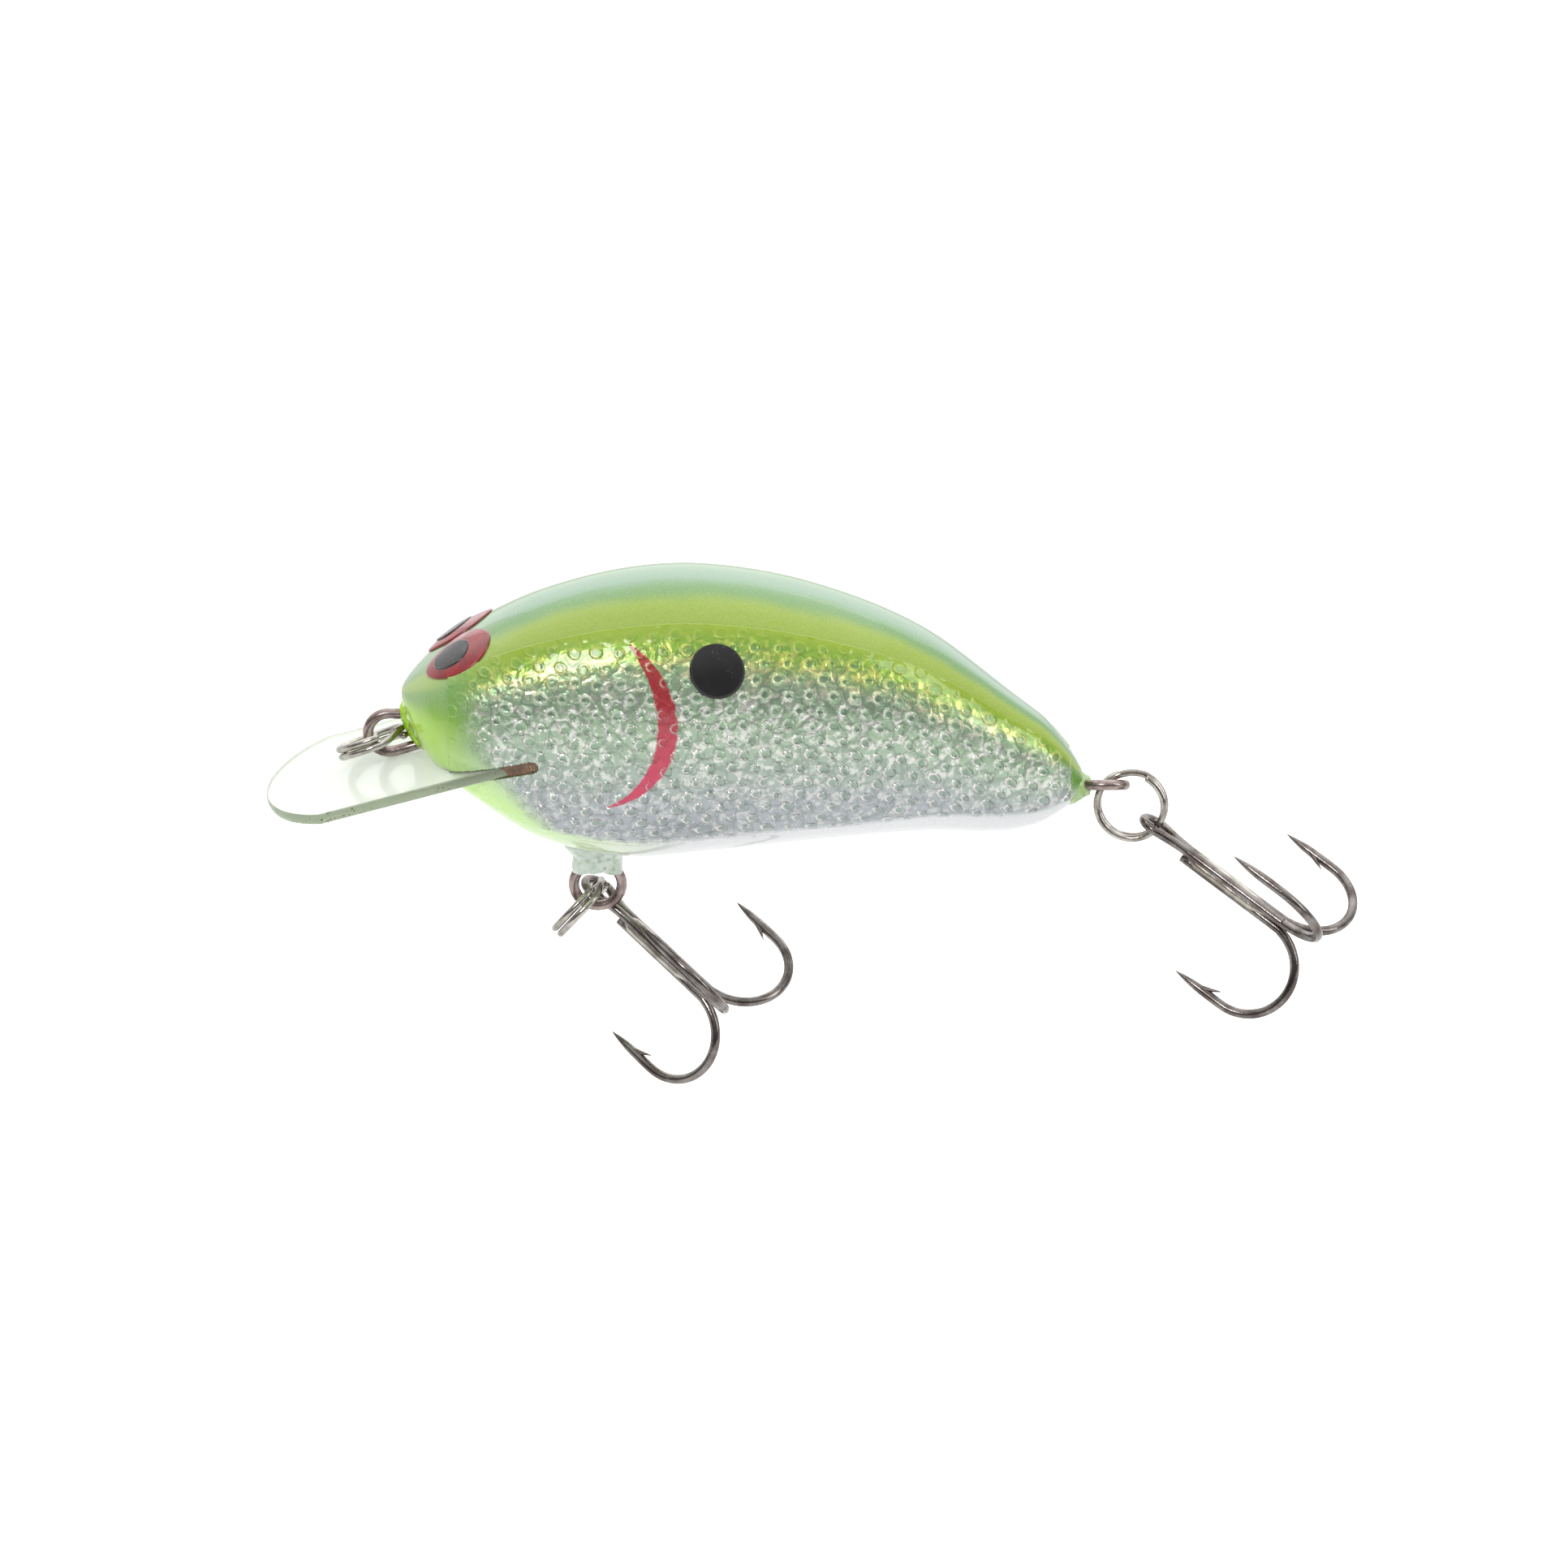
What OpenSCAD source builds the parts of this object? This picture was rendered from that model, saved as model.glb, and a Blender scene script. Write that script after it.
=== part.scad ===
// Crankbait lure: a carved and foiled body with a clear diving lip, a line-tie with its split ring, and two
// treble hooks on split rings. +X runs to the tail, -Y is the lure's left flank, +Z is up, and the origin is
// the middle of the line-tie eye. Millimetres.

/* [Body] */
// Length of the body from nose to tail
body_length = 63.4; // [54:0.1:78]
// Height of the back above the line-tie
back_height = 16.4; // [14:0.1:20.5]
// Depth of the belly below the line-tie
belly_depth = 11.7; // [10:0.1:14.5]
// Greatest width of the body
body_width = 20; // [16.6:0.1:24]
// Fullness of the cross-section, where 2 is an ellipse
fullness = 2.2; // [2:0.05:2.2]
// Distance from the middle of the line-tie eye back to the nose
nose_gap = 1.2; // [0.9:0.1:1.6]

/* [Foil, eyes and spots] */
// Thickness of the foil skin
foil_thickness = 0.12; // [0.1:0.01:0.2]
// Length of an eye along the head
eye_length = 7.2; // [6:0.1:8.6]
// Width of an eye round the head
eye_width = 5.2; // [4:0.1:5.2]
// Height of an eye's dome
eye_dome = 0.25; // [0.2:0.05:0.5]
// Diameter of a flank spot
spot_diameter = 5; // [4:0.1:6]

/* [Diving lip] */
// Width of the lip
lip_width = 17; // [14:0.1:17.4]
// Length of the lip's straight sides
lip_straight = 20.4; // [17:0.1:24.5]
// How far the rounded front reaches past the straight sides
lip_bulge = 5.6; // [4.6:0.1:6.8]
// Thickness of the lip
lip_thickness = 1; // [0.8:0.1:1.2]
// Slope of the lip below the body's axis
lip_angle = 16; // [13:1:19]
// Distance from the nose back to the end of the lip slot
slot_depth = 12.3; // [10.2:0.1:13]

/* [Wire eyes] */
// Wire diameter of the line-tie, belly hanger and tail eye
eye_wire = 1; // [0.8:0.05:1.2]
// Outside diameter of the line-tie eye
line_tie_diameter = 4.9; // [4.5:0.1:5.9]
// Outside diameter of the belly hanger's eye
hanger_diameter = 5.5; // [5.2:0.1:6.2]
// Outside diameter of the tail eye
tail_eye_diameter = 4.6; // [4.4:0.1:5.5]
// Length of the wire legs set into the body
leg_length = 9; // [7:0.5:10.5]
// Roll of the tail eye about the body's axis
tail_eye_roll = 26; // [0:1:30]

/* [Split rings] */
// Outside diameter of a split ring
ring_diameter = 7; // [6.4:0.1:7.6]
// Wire diameter of a split ring
ring_wire = 0.7; // [0.6:0.01:0.75]

/* [Treble hooks] */
// Length of a treble from the top of its eye to the bottom of its bends
treble_length = 21.2; // [18:0.1:25]
// Wire diameter of a treble
hook_wire = 0.9; // [0.75:0.01:0.95]
// Radius of a hook's bend at the middle of the wire
bend_radius = 4.6; // [3.9:0.1:5.5]
// Height of a hook's point above the bottom of its bend
point_height = 10.3; // [9:0.1:12]
// Length of a treble's eye
treble_eye_length = 4.8; // [4.6:0.1:5.4]
// Width of a treble's eye
treble_eye_width = 3.8; // [3.7:0.1:4.4]

/* [Ballast] */
// Diameter of the ballast slug
ballast_diameter = 6.5; // [5:0.1:7.8]
// Length of the ballast slug
ballast_length = 9; // [7:0.5:10.5]

/* [Hidden] */
$fn = 48;
fit_gap = 0.02;       // between pieces glued or laid on each other
glue_gap = 0.12;      // thickness of an epoxy line
clear_gap = 0.13;     // air between pieces that must not touch
tiny = 0.01;

// Rows along the body: share of its length, and the back height, belly depth and half width there as
// shares of their greatest values, before the two ends are rounded off.
STATIONS = [
    [0.00, 0.37, 0.00, 0.44],
    [0.05, 0.49, 0.19, 0.66],
    [0.10, 0.63, 0.45, 0.79],
    [0.20, 0.83, 0.83, 0.91],
    [0.33, 0.97, 1.00, 0.99],
    [0.45, 0.99, 0.95, 1.00],
    [0.60, 0.88, 0.86, 0.92],
    [0.76, 0.62, 0.80, 0.72],
    [0.90, 0.20, 0.81, 0.45],
    [1.00, -0.11, 0.60, 0.25]
];
NOSE_ROUND = 0.06;    // share of the length over which the nose is rounded
TAIL_ROUND = 0.07;    // and the tail
NOSE_LEVEL = 0.26;    // height of the nose tip as a share of the back height
TAIL_LEVEL = -0.33;   // height of the tail tip, as a share of the back height
RINGS = 40;           // sections along the body
SIDES = 40;           // points round a section

nose_x = nose_gap;
tail_x = nose_x + body_length;
tail_z = TAIL_LEVEL * back_height;

line_tie_r = (line_tie_diameter - eye_wire) / 2;
hanger_r = (hanger_diameter - eye_wire) / 2;
tail_eye_r = (tail_eye_diameter - eye_wire) / 2;
LEG_TURN = 130;       // half the arc of a closed eye, before its wires run together
leg_spread = eye_wire / 2 + fit_gap;
knee_r = 1.2;         // bend where a closed eye's wires run together
lap = 0.1;            // overlap of a straight stretch of wire with a bend
line_tie_rise = 18;   // slope of the line-tie's lower leg

HANGER_SHARE = 0.283; // how far along the body the hanger stands, as a share of its length
hanger_x = nose_x + HANGER_SHARE * body_length;
hanger_drop = 4;      // from the belly down to the middle of the hanger's eye
hanger_z = -belly_depth - hanger_drop;
collar_length = 4.7;
collar_width = 2.8;
collar_foot = 1.1;    // how far the collar is let into the belly
collar_drop = 2.9;    // and how far it stands below it

tail_neck = 0.76;      // from the tail tip to where the tail eye's wires part
tail_eye_x = tail_x - tail_neck + eye_reach(tail_eye_r);
tail_collar_length = 2; // an epoxy cone round the tail eye's wires
tail_collar_out = 1 - eye_wire / 2; // how far it stands out of the tail, short of the ring's wire
tail_collar_base = 1.9; // its radius inside the body
tail_collar_tip = 1.25; // and at its outer end

// The lip passes just under the line-tie eye.
lip_drop = line_tie_diameter / 2 + clear_gap + lip_thickness / 2 / cos(lip_angle);
slot_height = lip_thickness + 2 * glue_gap;
slot_end_x = nose_x + slot_depth;

split_r = (ring_diameter - ring_wire) / 2;
RING_GAP = 0.04;      // between the two turns of a split ring
RING_START = 25;      // angles at which a split ring's wire starts and ends
RING_END = 695;
RING_JOG = 60;        // angle over which it steps from one turn to the other

hook_r = hook_wire / 2;
wire_pack = hook_wire + 0.08; // spacing of the three shank wires
pack_r = wire_pack / sqrt(3);
single_start = 5.4;   // from the top of the eye to the blunt end of the third wire
braze_start = 5.8;     // from the top of the eye to the solder
barb_height = 5.6;    // from the bottom of the bend to a barb's tip
barb_length = 2.4;
barb_rise = 0.45;     // how far the barb's tip stands off the wire
barb_root = 0.22;
point_tip = 0.04;     // radius of a sharp end
eye_hold = 1.82;      // from the top of a treble's eye to the middle of the split ring's wire

// Where the loose pieces hang: each split ring's middle and axis, and each treble's shank and third-hook
// directions.
nose_ring_middle = [-1.55, 0, -0.95];
nose_ring_axis = unit([-0.34, 0.34, 0.88]);
belly_ring_middle = [hanger_x - 1.6, 0.2, hanger_z - 2.5];
belly_ring_axis = unit([-0.72, 0.3, 0.62]);
tail_ring_axis = unit([-0.2, -0.97, 0.16]);
tail_pivot = [tail_eye_x + tail_eye_r, 0, tail_z];
ring_slack = 0.36;    // between the tail ring and the eye it hangs from
tail_ring_middle = tail_pivot + unit([0.29, -0.42, -0.86])
    * (split_r - ring_wire / 2 - eye_wire / 2 - ring_slack);
belly_shank = unit([0.69, -0.593, -0.418]);
belly_third = unit([-0.497, 0.034, -0.867]);
tail_shank = unit([0.776, -0.46, -0.43]);
tail_third = unit([-0.521, -0.085, -0.85]);
belly_link = belly_ring_middle + split_r * across([0.5, 0.85, 0.16], belly_ring_axis);
tail_link = tail_ring_middle + split_r * across([0.79, -0.27, -0.62], tail_ring_axis);

function unit(v) = v / norm(v);
function across(v, along) = unit(v - (v * along) * along);

// Slope of column k of STATIONS at row i, and the smooth curve through that column.
function row_slope(i, k) =
    let (a = max(i - 1, 0), b = min(i + 1, len(STATIONS) - 1))
    (STATIONS[b][k] - STATIONS[a][k]) / (STATIONS[b][0] - STATIONS[a][0]);
function row_before(t) = max([for (i = [0 : len(STATIONS) - 2]) if (STATIONS[i][0] <= t || i == 0) i]);
function station(t, k) =
    let (i = row_before(t), span = STATIONS[i + 1][0] - STATIONS[i][0], s = (t - STATIONS[i][0]) / span)
    STATIONS[i][k] * (1 + 2 * s) * (1 - s) ^ 2 + row_slope(i, k) * span * s * (1 - s) ^ 2
    + STATIONS[i + 1][k] * s ^ 2 * (3 - 2 * s) - row_slope(i + 1, k) * span * s ^ 2 * (1 - s);

// An end is rounded as a quarter ellipse.
function round_off(t, share) = t >= share ? 1 : sqrt(max(0, 1 - (1 - t / share) ^ 2));
function cap(t) = round_off(t, NOSE_ROUND) * round_off(1 - t, TAIL_ROUND);
function axis_level(t) = back_height * (t < 0.5 ? NOSE_LEVEL : TAIL_LEVEL);

function signed_power(v, p) = sign(v) * abs(v) ^ p;

// A point of the body's surface at share t of its length and angle a round its section, from the left
// flank up, or a distance outside it.
function body_point(t, a, out = 0) =
    let (
        level = t < NOSE_ROUND || t > 1 - TAIL_ROUND ? axis_level(t) : 0,
        back = level + (back_height * station(t, 1) - level) * cap(t),
        belly = level + (-belly_depth * station(t, 2) - level) * cap(t),
        middle = (back + belly) / 2,
        half = (back - belly) / 2,
        wide = body_width / 2 * station(t, 3) * cap(t)
    )
    [nose_x + t * body_length, -wide * signed_power(cos(a), 2 / fullness),
        middle + half * signed_power(sin(a), 2 / fullness)]
    + (out == 0 ? [0, 0, 0] : out * body_normal(t, a));
function body_normal(t, a) =
    let (
        u = max(0.004, min(0.996, t)),
        along = body_point(u + 0.002, a) - body_point(u - 0.002, a),
        around = body_point(u, a + 1.5) - body_point(u, a - 1.5)
    )
    unit(cross(along, around));

function ring_share(i) = (1 - cos(180 * i / RINGS)) / 2;
function side_angle(j) = 360 * j / SIDES;
function flatten(lists) = [for (l = lists) each l];

// A closed skin: a pole, rings of n points each, and a pole at the other end.
function skin_points(first, rings, last) = concat([first], flatten(rings), [last]);
function skin_faces(count, n) = concat(
    [for (j = [0 : n - 1]) [0, 1 + (j + 1) % n, 1 + j]],
    flatten([for (i = [0 : count - 2], j = [0 : n - 1])
        let (a = 1 + i * n + j, b = 1 + i * n + (j + 1) % n)
        [[a, b, b + n], [a, b + n, a + n]]]),
    [for (j = [0 : n - 1]) [1 + count * n, 1 + (count - 1) * n + j, 1 + (count - 1) * n + (j + 1) % n]]
);
module skin(first, rings, last) {
    polyhedron(skin_points(first, rings, last), skin_faces(len(rings), len(rings[0])), convexity = 6);
}

// A round tube through points, with a radius at each. Its sides don't twist, because each ring's first
// direction is carried on from the ring before.
function tangent(path, i) = unit(path[min(i + 1, len(path) - 1)] - path[max(i - 1, 0)]);
function carried(path, side) =
    [for (i = 0, n = across(side, tangent(path, 0)); i < len(path);
        i = i + 1, n = i < len(path) ? across(n, tangent(path, i)) : n) n];
module tube(path, radii, side, sides = 8) {
    starts = carried(path, side);
    rings = [for (i = [0 : len(path) - 1])
        let (along = tangent(path, i), n = starts[i], b = cross(along, n))
        [for (j = [0 : sides - 1])
            path[i] + radii[i] * (cos(360 * j / sides) * n - sin(360 * j / sides) * b)]];
    skin(path[0], rings, path[len(path) - 1]);
}

// The body's outer form, or the form a little outside it.
module body_form(out = 0) {
    rings = [for (i = [1 : RINGS - 1])
        [for (j = [0 : SIDES - 1]) body_point(ring_share(i), side_angle(j), out)]];
    skin([nose_x - out, 0, axis_level(0)], rings, [tail_x + out, 0, axis_level(1)]);
}

// A thin skin over part of the body, between rings i0 and i1 and side points j0 and j1.
module body_skin(i0, i1, j0, j1, low, high) {
    nj = j1 - j0 + 1;
    ni = i1 - i0 + 1;
    sheet = ni * nj;
    points = [for (out = [low, high], i = [i0 : i1], j = [j0 : j1])
        body_point(ring_share(i), side_angle(j), out)];
    rim = concat(
        [for (j = [0 : nj - 2]) j],
        [for (i = [0 : ni - 2]) i * nj + nj - 1],
        [for (j = [nj - 1 : -1 : 1]) (ni - 1) * nj + j],
        [for (i = [ni - 1 : -1 : 1]) i * nj]
    );
    faces = concat(
        flatten([for (i = [0 : ni - 2], j = [0 : nj - 2])
            let (a = i * nj + j)
            [[a, a + nj + 1, a + 1], [a, a + nj, a + nj + 1],
                [sheet + a, sheet + a + 1, sheet + a + nj + 1],
                [sheet + a, sheet + a + nj + 1, sheet + a + nj]]]),
        flatten([for (k = [0 : len(rim) - 1])
            let (a = rim[k], b = rim[(k + 1) % len(rim)])
            [[a, b, b + sheet], [a, b + sheet, a + sheet]]])
    );
    polyhedron(points, faces, convexity = 6);
}

// A round or oval piece laid on the body at share t and angle a, between two heights, with a domed top.
module body_disc(t, a, half_length, half_width, low, high, dome) {
    step = 0.005;
    per_t = norm(body_point(t + step, a) - body_point(t - step, a)) / (2 * step);
    per_a = norm(body_point(t, a + 1) - body_point(t, a - 1)) / 2;
    top = [0.25, 0.5, 0.75, 1];
    layers = concat([for (r = top) [r, high + dome * (1 - r ^ 2)]], [for (k = [3 : -1 : 0]) [top[k], low]]);
    rings = [for (layer = layers) [for (j = [0 : 23])
        body_point(t + layer[0] * half_length * cos(15 * j) / per_t,
            a + layer[0] * half_width * sin(15 * j) / per_a, layer[1])]];
    skin(body_point(t, a, high + dome), rings, body_point(t, a, low));
}
module right_side() mirror([0, 1, 0]) children();

EYE_T = 0.087;        // middle of an eye, as a share of the body's length
EYE_APART = 0.7;      // between the two eyes, across the top of the head
// The angle round the section that leaves that gap.
eye_angle = acos(((eye_width + EYE_APART) / body_width / station(EYE_T, 3)) ^ (fullness / 2));
PUPIL_T = 0.08;       // the pupil sits forward of the eye's middle
SPOT_T = 0.462;       // middle of a spot, as a share of the body's length
SPOT_A = 32.7;        // and as an angle round its section
skin_lift = 0.05;     // keeps flat-sided pieces clear of the curve under them
over_foil = foil_thickness + fit_gap + skin_lift;
spot_thickness = 0.15;
eye_thickness = 0.12;
pupil_length = 4;
pupil_width = 2.9;
pupil_thickness = 0.06;
pupil_dome = 0.04;

module eye() {
    color("crimson") body_disc(EYE_T, eye_angle, eye_length / 2, eye_width / 2, over_foil,
        over_foil + eye_thickness, eye_dome);
}
module pupil() {
    low = over_foil + eye_thickness + eye_dome + fit_gap;
    color("black") body_disc(PUPIL_T, eye_angle, pupil_length / 2, pupil_width / 2, low,
        low + pupil_thickness, pupil_dome);
}
module foil() {
    color("silver") difference() {
        body_skin(7, 36, -5, 6, fit_gap, fit_gap + foil_thickness);
        lip_slot(fit_gap);
    }
}
module spot() {
    color("black") body_disc(SPOT_T, SPOT_A, spot_diameter / 2, spot_diameter / 2, over_foil,
        over_foil + spot_thickness, 0);
}

module in_lip_frame() {
    translate([slot_end_x, 0, slot_end_x * tan(lip_angle) - lip_drop]) rotate([0, lip_angle, 180]) children();
}
module lip_outline() {
    half = lip_width / 2;
    front_r = (half ^ 2 + lip_bulge ^ 2) / (2 * lip_bulge);
    translate([0, -half]) square([lip_straight, lip_width]);
    intersection() {
        translate([lip_straight + lip_bulge - front_r, 0]) circle(front_r, $fn = 96);
        translate([lip_straight - tiny, -half]) square([lip_bulge + 1, lip_width]);
    }
}
module lip_plate(gap = 0) {
    in_lip_frame() translate([0, 0, -lip_thickness / 2 - gap]) linear_extrude(lip_thickness + 2 * gap)
        translate([-gap, 0]) scale(1 + gap / 10) lip_outline();
}
// The saw cut that holds the lip, across the whole head and open at the front.
module lip_slot(gap = 0) {
    in_lip_frame() {
        translate([0, -body_width, -slot_height / 2 - gap])
            cube([2 * slot_end_x, 2 * body_width, slot_height + 2 * gap]);
        rotate([90, 0, 0]) cylinder(2 * body_width, r = slot_height / 2 + gap, center = true);
    }
}

// A wire eye in the XY plane round the origin, open to -X, where its two wires bend to run on side by side.
function neck_run(r) = (r * sin(LEG_TURN) - knee_r * (1 - sin(LEG_TURN)) - leg_spread) / -cos(LEG_TURN);
function eye_reach(r) = neck_run(r) * sin(LEG_TURN) - (r + knee_r) * cos(LEG_TURN);
module wire_bend(r, start, angle) {
    rotate_extrude(angle = angle, start = start) translate([r, 0]) circle(eye_wire / 2);
}
module wire_eye(r, legs) {
    wire_bend(r, -LEG_TURN, 2 * LEG_TURN);
    for (side = [0, 1]) mirror([0, side, 0]) {
        translate([r * cos(LEG_TURN), r * sin(LEG_TURN), 0]) rotate([0, 90, LEG_TURN + 90])
            translate([0, 0, -lap]) cylinder(neck_run(r) + 2 * lap, d = eye_wire - fit_gap);
        translate([-eye_reach(r), leg_spread + knee_r, 0]) wire_bend(knee_r, 270, LEG_TURN - 90);
        translate([-eye_reach(r), leg_spread, 0]) rotate([0, -90, 0]) translate([0, 0, -lap])
            cylinder(legs + lap, d = eye_wire - fit_gap);
    }
}
neck_slack = 0.15;     // room beside a pair of wires in epoxy
bore_slack = 0.05;     // and in a drilled hole
// The room that a wire eye's neck needs in the epoxy round it, from its arc back past its bends.
module neck_outline(r) {
    wide = r * sin(LEG_TURN) + eye_wire;
    narrow = leg_spread + eye_wire / 2 + fit_gap + neck_slack;
    polygon([[r * cos(LEG_TURN), wide], [-eye_reach(r), narrow], [-eye_reach(r) - leg_length, narrow],
        [-eye_reach(r) - leg_length, -narrow], [-eye_reach(r), -narrow], [r * cos(LEG_TURN), -wide]]);
}
leg_bore_r = leg_spread + eye_wire / 2 + bore_slack;

module hanger_frame() translate([hanger_x, 0, hanger_z]) rotate([0, 90, 0]) rotate([90, 0, 0]) children();
module tail_frame() translate([tail_eye_x, 0, tail_z]) rotate([-tail_eye_roll, 0, 0]) children();

// A bar along Z with an obround section, long along X.
module obround_bar(length, width, height) {
    linear_extrude(height) {
        for (side = [-1, 1]) translate([side * (length - width) / 2, 0]) circle(d = width);
        square([length - width, width], center = true);
    }
}

bead = 0.35;          // how far the line-tie's epoxy stands proud of the nose
pocket_rise = 0.35;   // middle of its pocket, above the line-tie's middle
pocket_depth = 3;     // behind the nose tip
bond_inset = 0.1;     // from the nose tip to the front of the epoxy
pocket_height = line_tie_diameter - 0.2;
// The line-tie's two wires: the upper runs level into the head, and the lower slopes up to meet it.
module line_tie_legs(gap) {
    lower_leg = (line_tie_r * (1 + cos(line_tie_rise)) - 1.05 * eye_wire) / sin(line_tie_rise);
    translate([0, 0, line_tie_r]) rotate([0, 90, 0]) translate([0, 0, -lap])
        cylinder(nose_x + leg_length + lap, r = eye_wire / 2 + gap);
    rotate([0, -line_tie_rise, 0]) translate([0, 0, -line_tie_r]) rotate([0, 90, 0]) translate([0, 0, -lap])
        cylinder(lower_leg + lap, r = eye_wire / 2 + gap);
}
module nose_pocket(gap = 0) {
    translate([-1, 0, pocket_rise]) rotate([0, 90, 0])
        obround_bar(pocket_height + 2 * gap, 2 * eye_wire + 2 * gap, 1 + nose_x + pocket_depth + gap);
}
module collar_bar(gap = 0) {
    translate([hanger_x, 0, -belly_depth - collar_drop])
        obround_bar(collar_length + 2 * gap, collar_width + 2 * gap, collar_drop + collar_foot + gap);
}
module tail_cone(gap = 0) {
    translate([tail_x + tail_collar_out - tail_collar_length, 0, tail_z]) rotate([0, 90, 0])
        cylinder(tail_collar_length, r1 = tail_collar_base + gap, r2 = tail_collar_tip + gap);
}
ballast_x = hanger_x + 8; // behind the hanger's wires
plug_thickness = 2;
module ballast_hole(gap, height) {
    translate([ballast_x, 0, -belly_depth - 1]) cylinder(height + 1, d = ballast_diameter + 2 * gap);
}

module body_core() {
    color("lightgreen") difference() {
        body_form();
        lip_slot();
        line_tie_legs(fit_gap);
        nose_pocket(fit_gap);
        collar_bar(fit_gap);
        translate([hanger_x, 0, -belly_depth]) cylinder(leg_length - 1, r = leg_bore_r);
        tail_cone(fit_gap);
        translate([tail_x + 1, 0, tail_z]) rotate([0, -90, 0]) cylinder(leg_length + 2, r = leg_bore_r);
        ballast_hole(fit_gap, plug_thickness + ballast_length);
    }
}
module diving_lip() color("honeydew") lip_plate();
module lip_bond() {
    color("saddlebrown") difference() {
        intersection() {
            body_form();
            lip_slot(-fit_gap);
        }
        lip_plate(fit_gap);
    }
}
module line_tie_eye() {
    color("dimgray") {
        rotate([90, 0, 0]) rotate_extrude(angle = 180 + line_tie_rise, start = 90) translate([line_tie_r, 0])
            circle(eye_wire / 2);
        line_tie_legs(-fit_gap / 2);
    }
}
module line_tie_bond() {
    color("yellowgreen") difference() {
        intersection() {
            body_form(bead);
            nose_pocket();
        }
        line_tie_legs(fit_gap);
        lip_slot(fit_gap);
        lip_plate(clear_gap);
        translate([nose_x + bond_inset - 10, -5, -5]) cube(10);
    }
}
module belly_hanger() color("dimgray") hanger_frame() wire_eye(hanger_r, leg_length - hanger_drop);
module belly_collar() {
    color("darkseagreen") difference() {
        collar_bar();
        hanger_frame() {
            rotate_extrude() translate([hanger_r, 0]) circle(eye_wire / 2 + fit_gap);
            linear_extrude(eye_wire + 2 * fit_gap, center = true) neck_outline(hanger_r);
        }
    }
}
module tail_eye() color("dimgray") tail_frame() wire_eye(tail_eye_r, leg_length);
module tail_collar() {
    color("darkseagreen") difference() {
        tail_cone();
        translate([tail_x - leg_length, 0, tail_z]) rotate([0, 90, 0])
            cylinder(leg_length - tail_neck, r = leg_bore_r);
        tail_frame() linear_extrude(eye_wire + 2 * fit_gap, center = true) neck_outline(tail_eye_r);
    }
}
module ballast_weight() {
    color("slategray") translate([ballast_x, 0, -belly_depth + plug_thickness + fit_gap])
        cylinder(ballast_length - 2 * fit_gap, d = ballast_diameter);
}
module ballast_plug() {
    color("beige") intersection() {
        body_form();
        ballast_hole(0, plug_thickness - fit_gap);
    }
}

// A split ring: two turns side by side, with one step between them, so that both ends show beside the step.
module split_ring(middle, axis) {
    u = across([0, 0, 1], axis);
    v = cross(axis, u);
    pitch = ring_wire + RING_GAP;
    angles = [for (k = [0 : 60]) RING_START + (RING_END - RING_START) * k / 60];
    function turn_share(angle) =
        let (s = max(0, min(1, (angle - 360 + RING_JOG / 2) / RING_JOG))) s * s * (3 - 2 * s);
    path = [for (angle = angles)
        middle + split_r * (cos(angle) * u + sin(angle) * v) + pitch * (turn_share(angle) - 0.5) * axis];
    tube(path, [for (angle = angles) ring_wire / 2], axis);
}

// A treble's own directions: w across its eye, g towards its third hook, s along its shank. A point is given
// by how far it lies along w and g from the shank's middle, and how far below the top of the eye.
function hook_point(link, g, s, p) =
    link + p[0] * cross(g, s) + (p[1] + pack_r / 2) * g + (p[2] - eye_hold) * s;
function turned(angle) = [sin(angle), cos(angle)];

// The bend and the point of one hook, from the shank place (a, b), in the direction at this angle from g.
bend_level = treble_length - hook_r - bend_radius;
function hook_bend(place, angle) = concat(
    [for (phi = [0 : 12 : 180])
        let (out = bend_radius * (1 - cos(phi)), d = turned(angle))
        [place[0] + out * d[0], place[1] + out * d[1], bend_level + bend_radius * sin(phi)]],
    [for (rise = [0.35, 0.6, 0.85, 1])
        let (out = 2 * bend_radius, d = turned(angle))
        [place[0] + out * d[0], place[1] + out * d[1],
            bend_level + rise * (treble_length - point_height - bend_level)]]
);
hook_taper = concat([for (phi = [0 : 12 : 180]) hook_r], [hook_r, 0.85 * hook_r, 0.45 * hook_r, point_tip]);

// One half of the double hook, from beside the top of the eye down to its point.
EYE_ARC = 110;        // how far round the eye is a true arc, from its top
shank_start = treble_eye_length + 0.4;
treble_eye_r = (treble_eye_width - hook_wire) / 2;
function double_half(side) =
    let (place = [side * wire_pack / 2, -pack_r / 2])
    concat(
        [for (phi = [15 : (EYE_ARC - 15) / 6 : EYE_ARC])
            [side * treble_eye_r * sin(phi), place[1], hook_r + treble_eye_r * (1 - cos(phi))]],
        [[place[0], place[1], shank_start], [place[0], place[1], (treble_eye_length + bend_level) / 2]],
        hook_bend(place, side * 120)
    );
half_radii = concat([for (k = [0 : 8]) hook_r], hook_taper);
function backwards(list) = [for (i = [len(list) - 1 : -1 : 0]) list[i]];

// The barb is a spike raised from the inner side of the point.
module barb(link, g, s, place, angle) {
    d = turned(angle);
    out = 2 * bend_radius;
    high = treble_length - barb_height - barb_length;
    path = [for (p = [[0, high], [hook_r + barb_rise, high + barb_length]])
        hook_point(link, g, s, [place[0] + (out - p[0]) * d[0], place[1] + (out - p[0]) * d[1], p[1]])];
    tube(path, [barb_root, point_tip], g + cross(g, s), 6);
}

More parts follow.
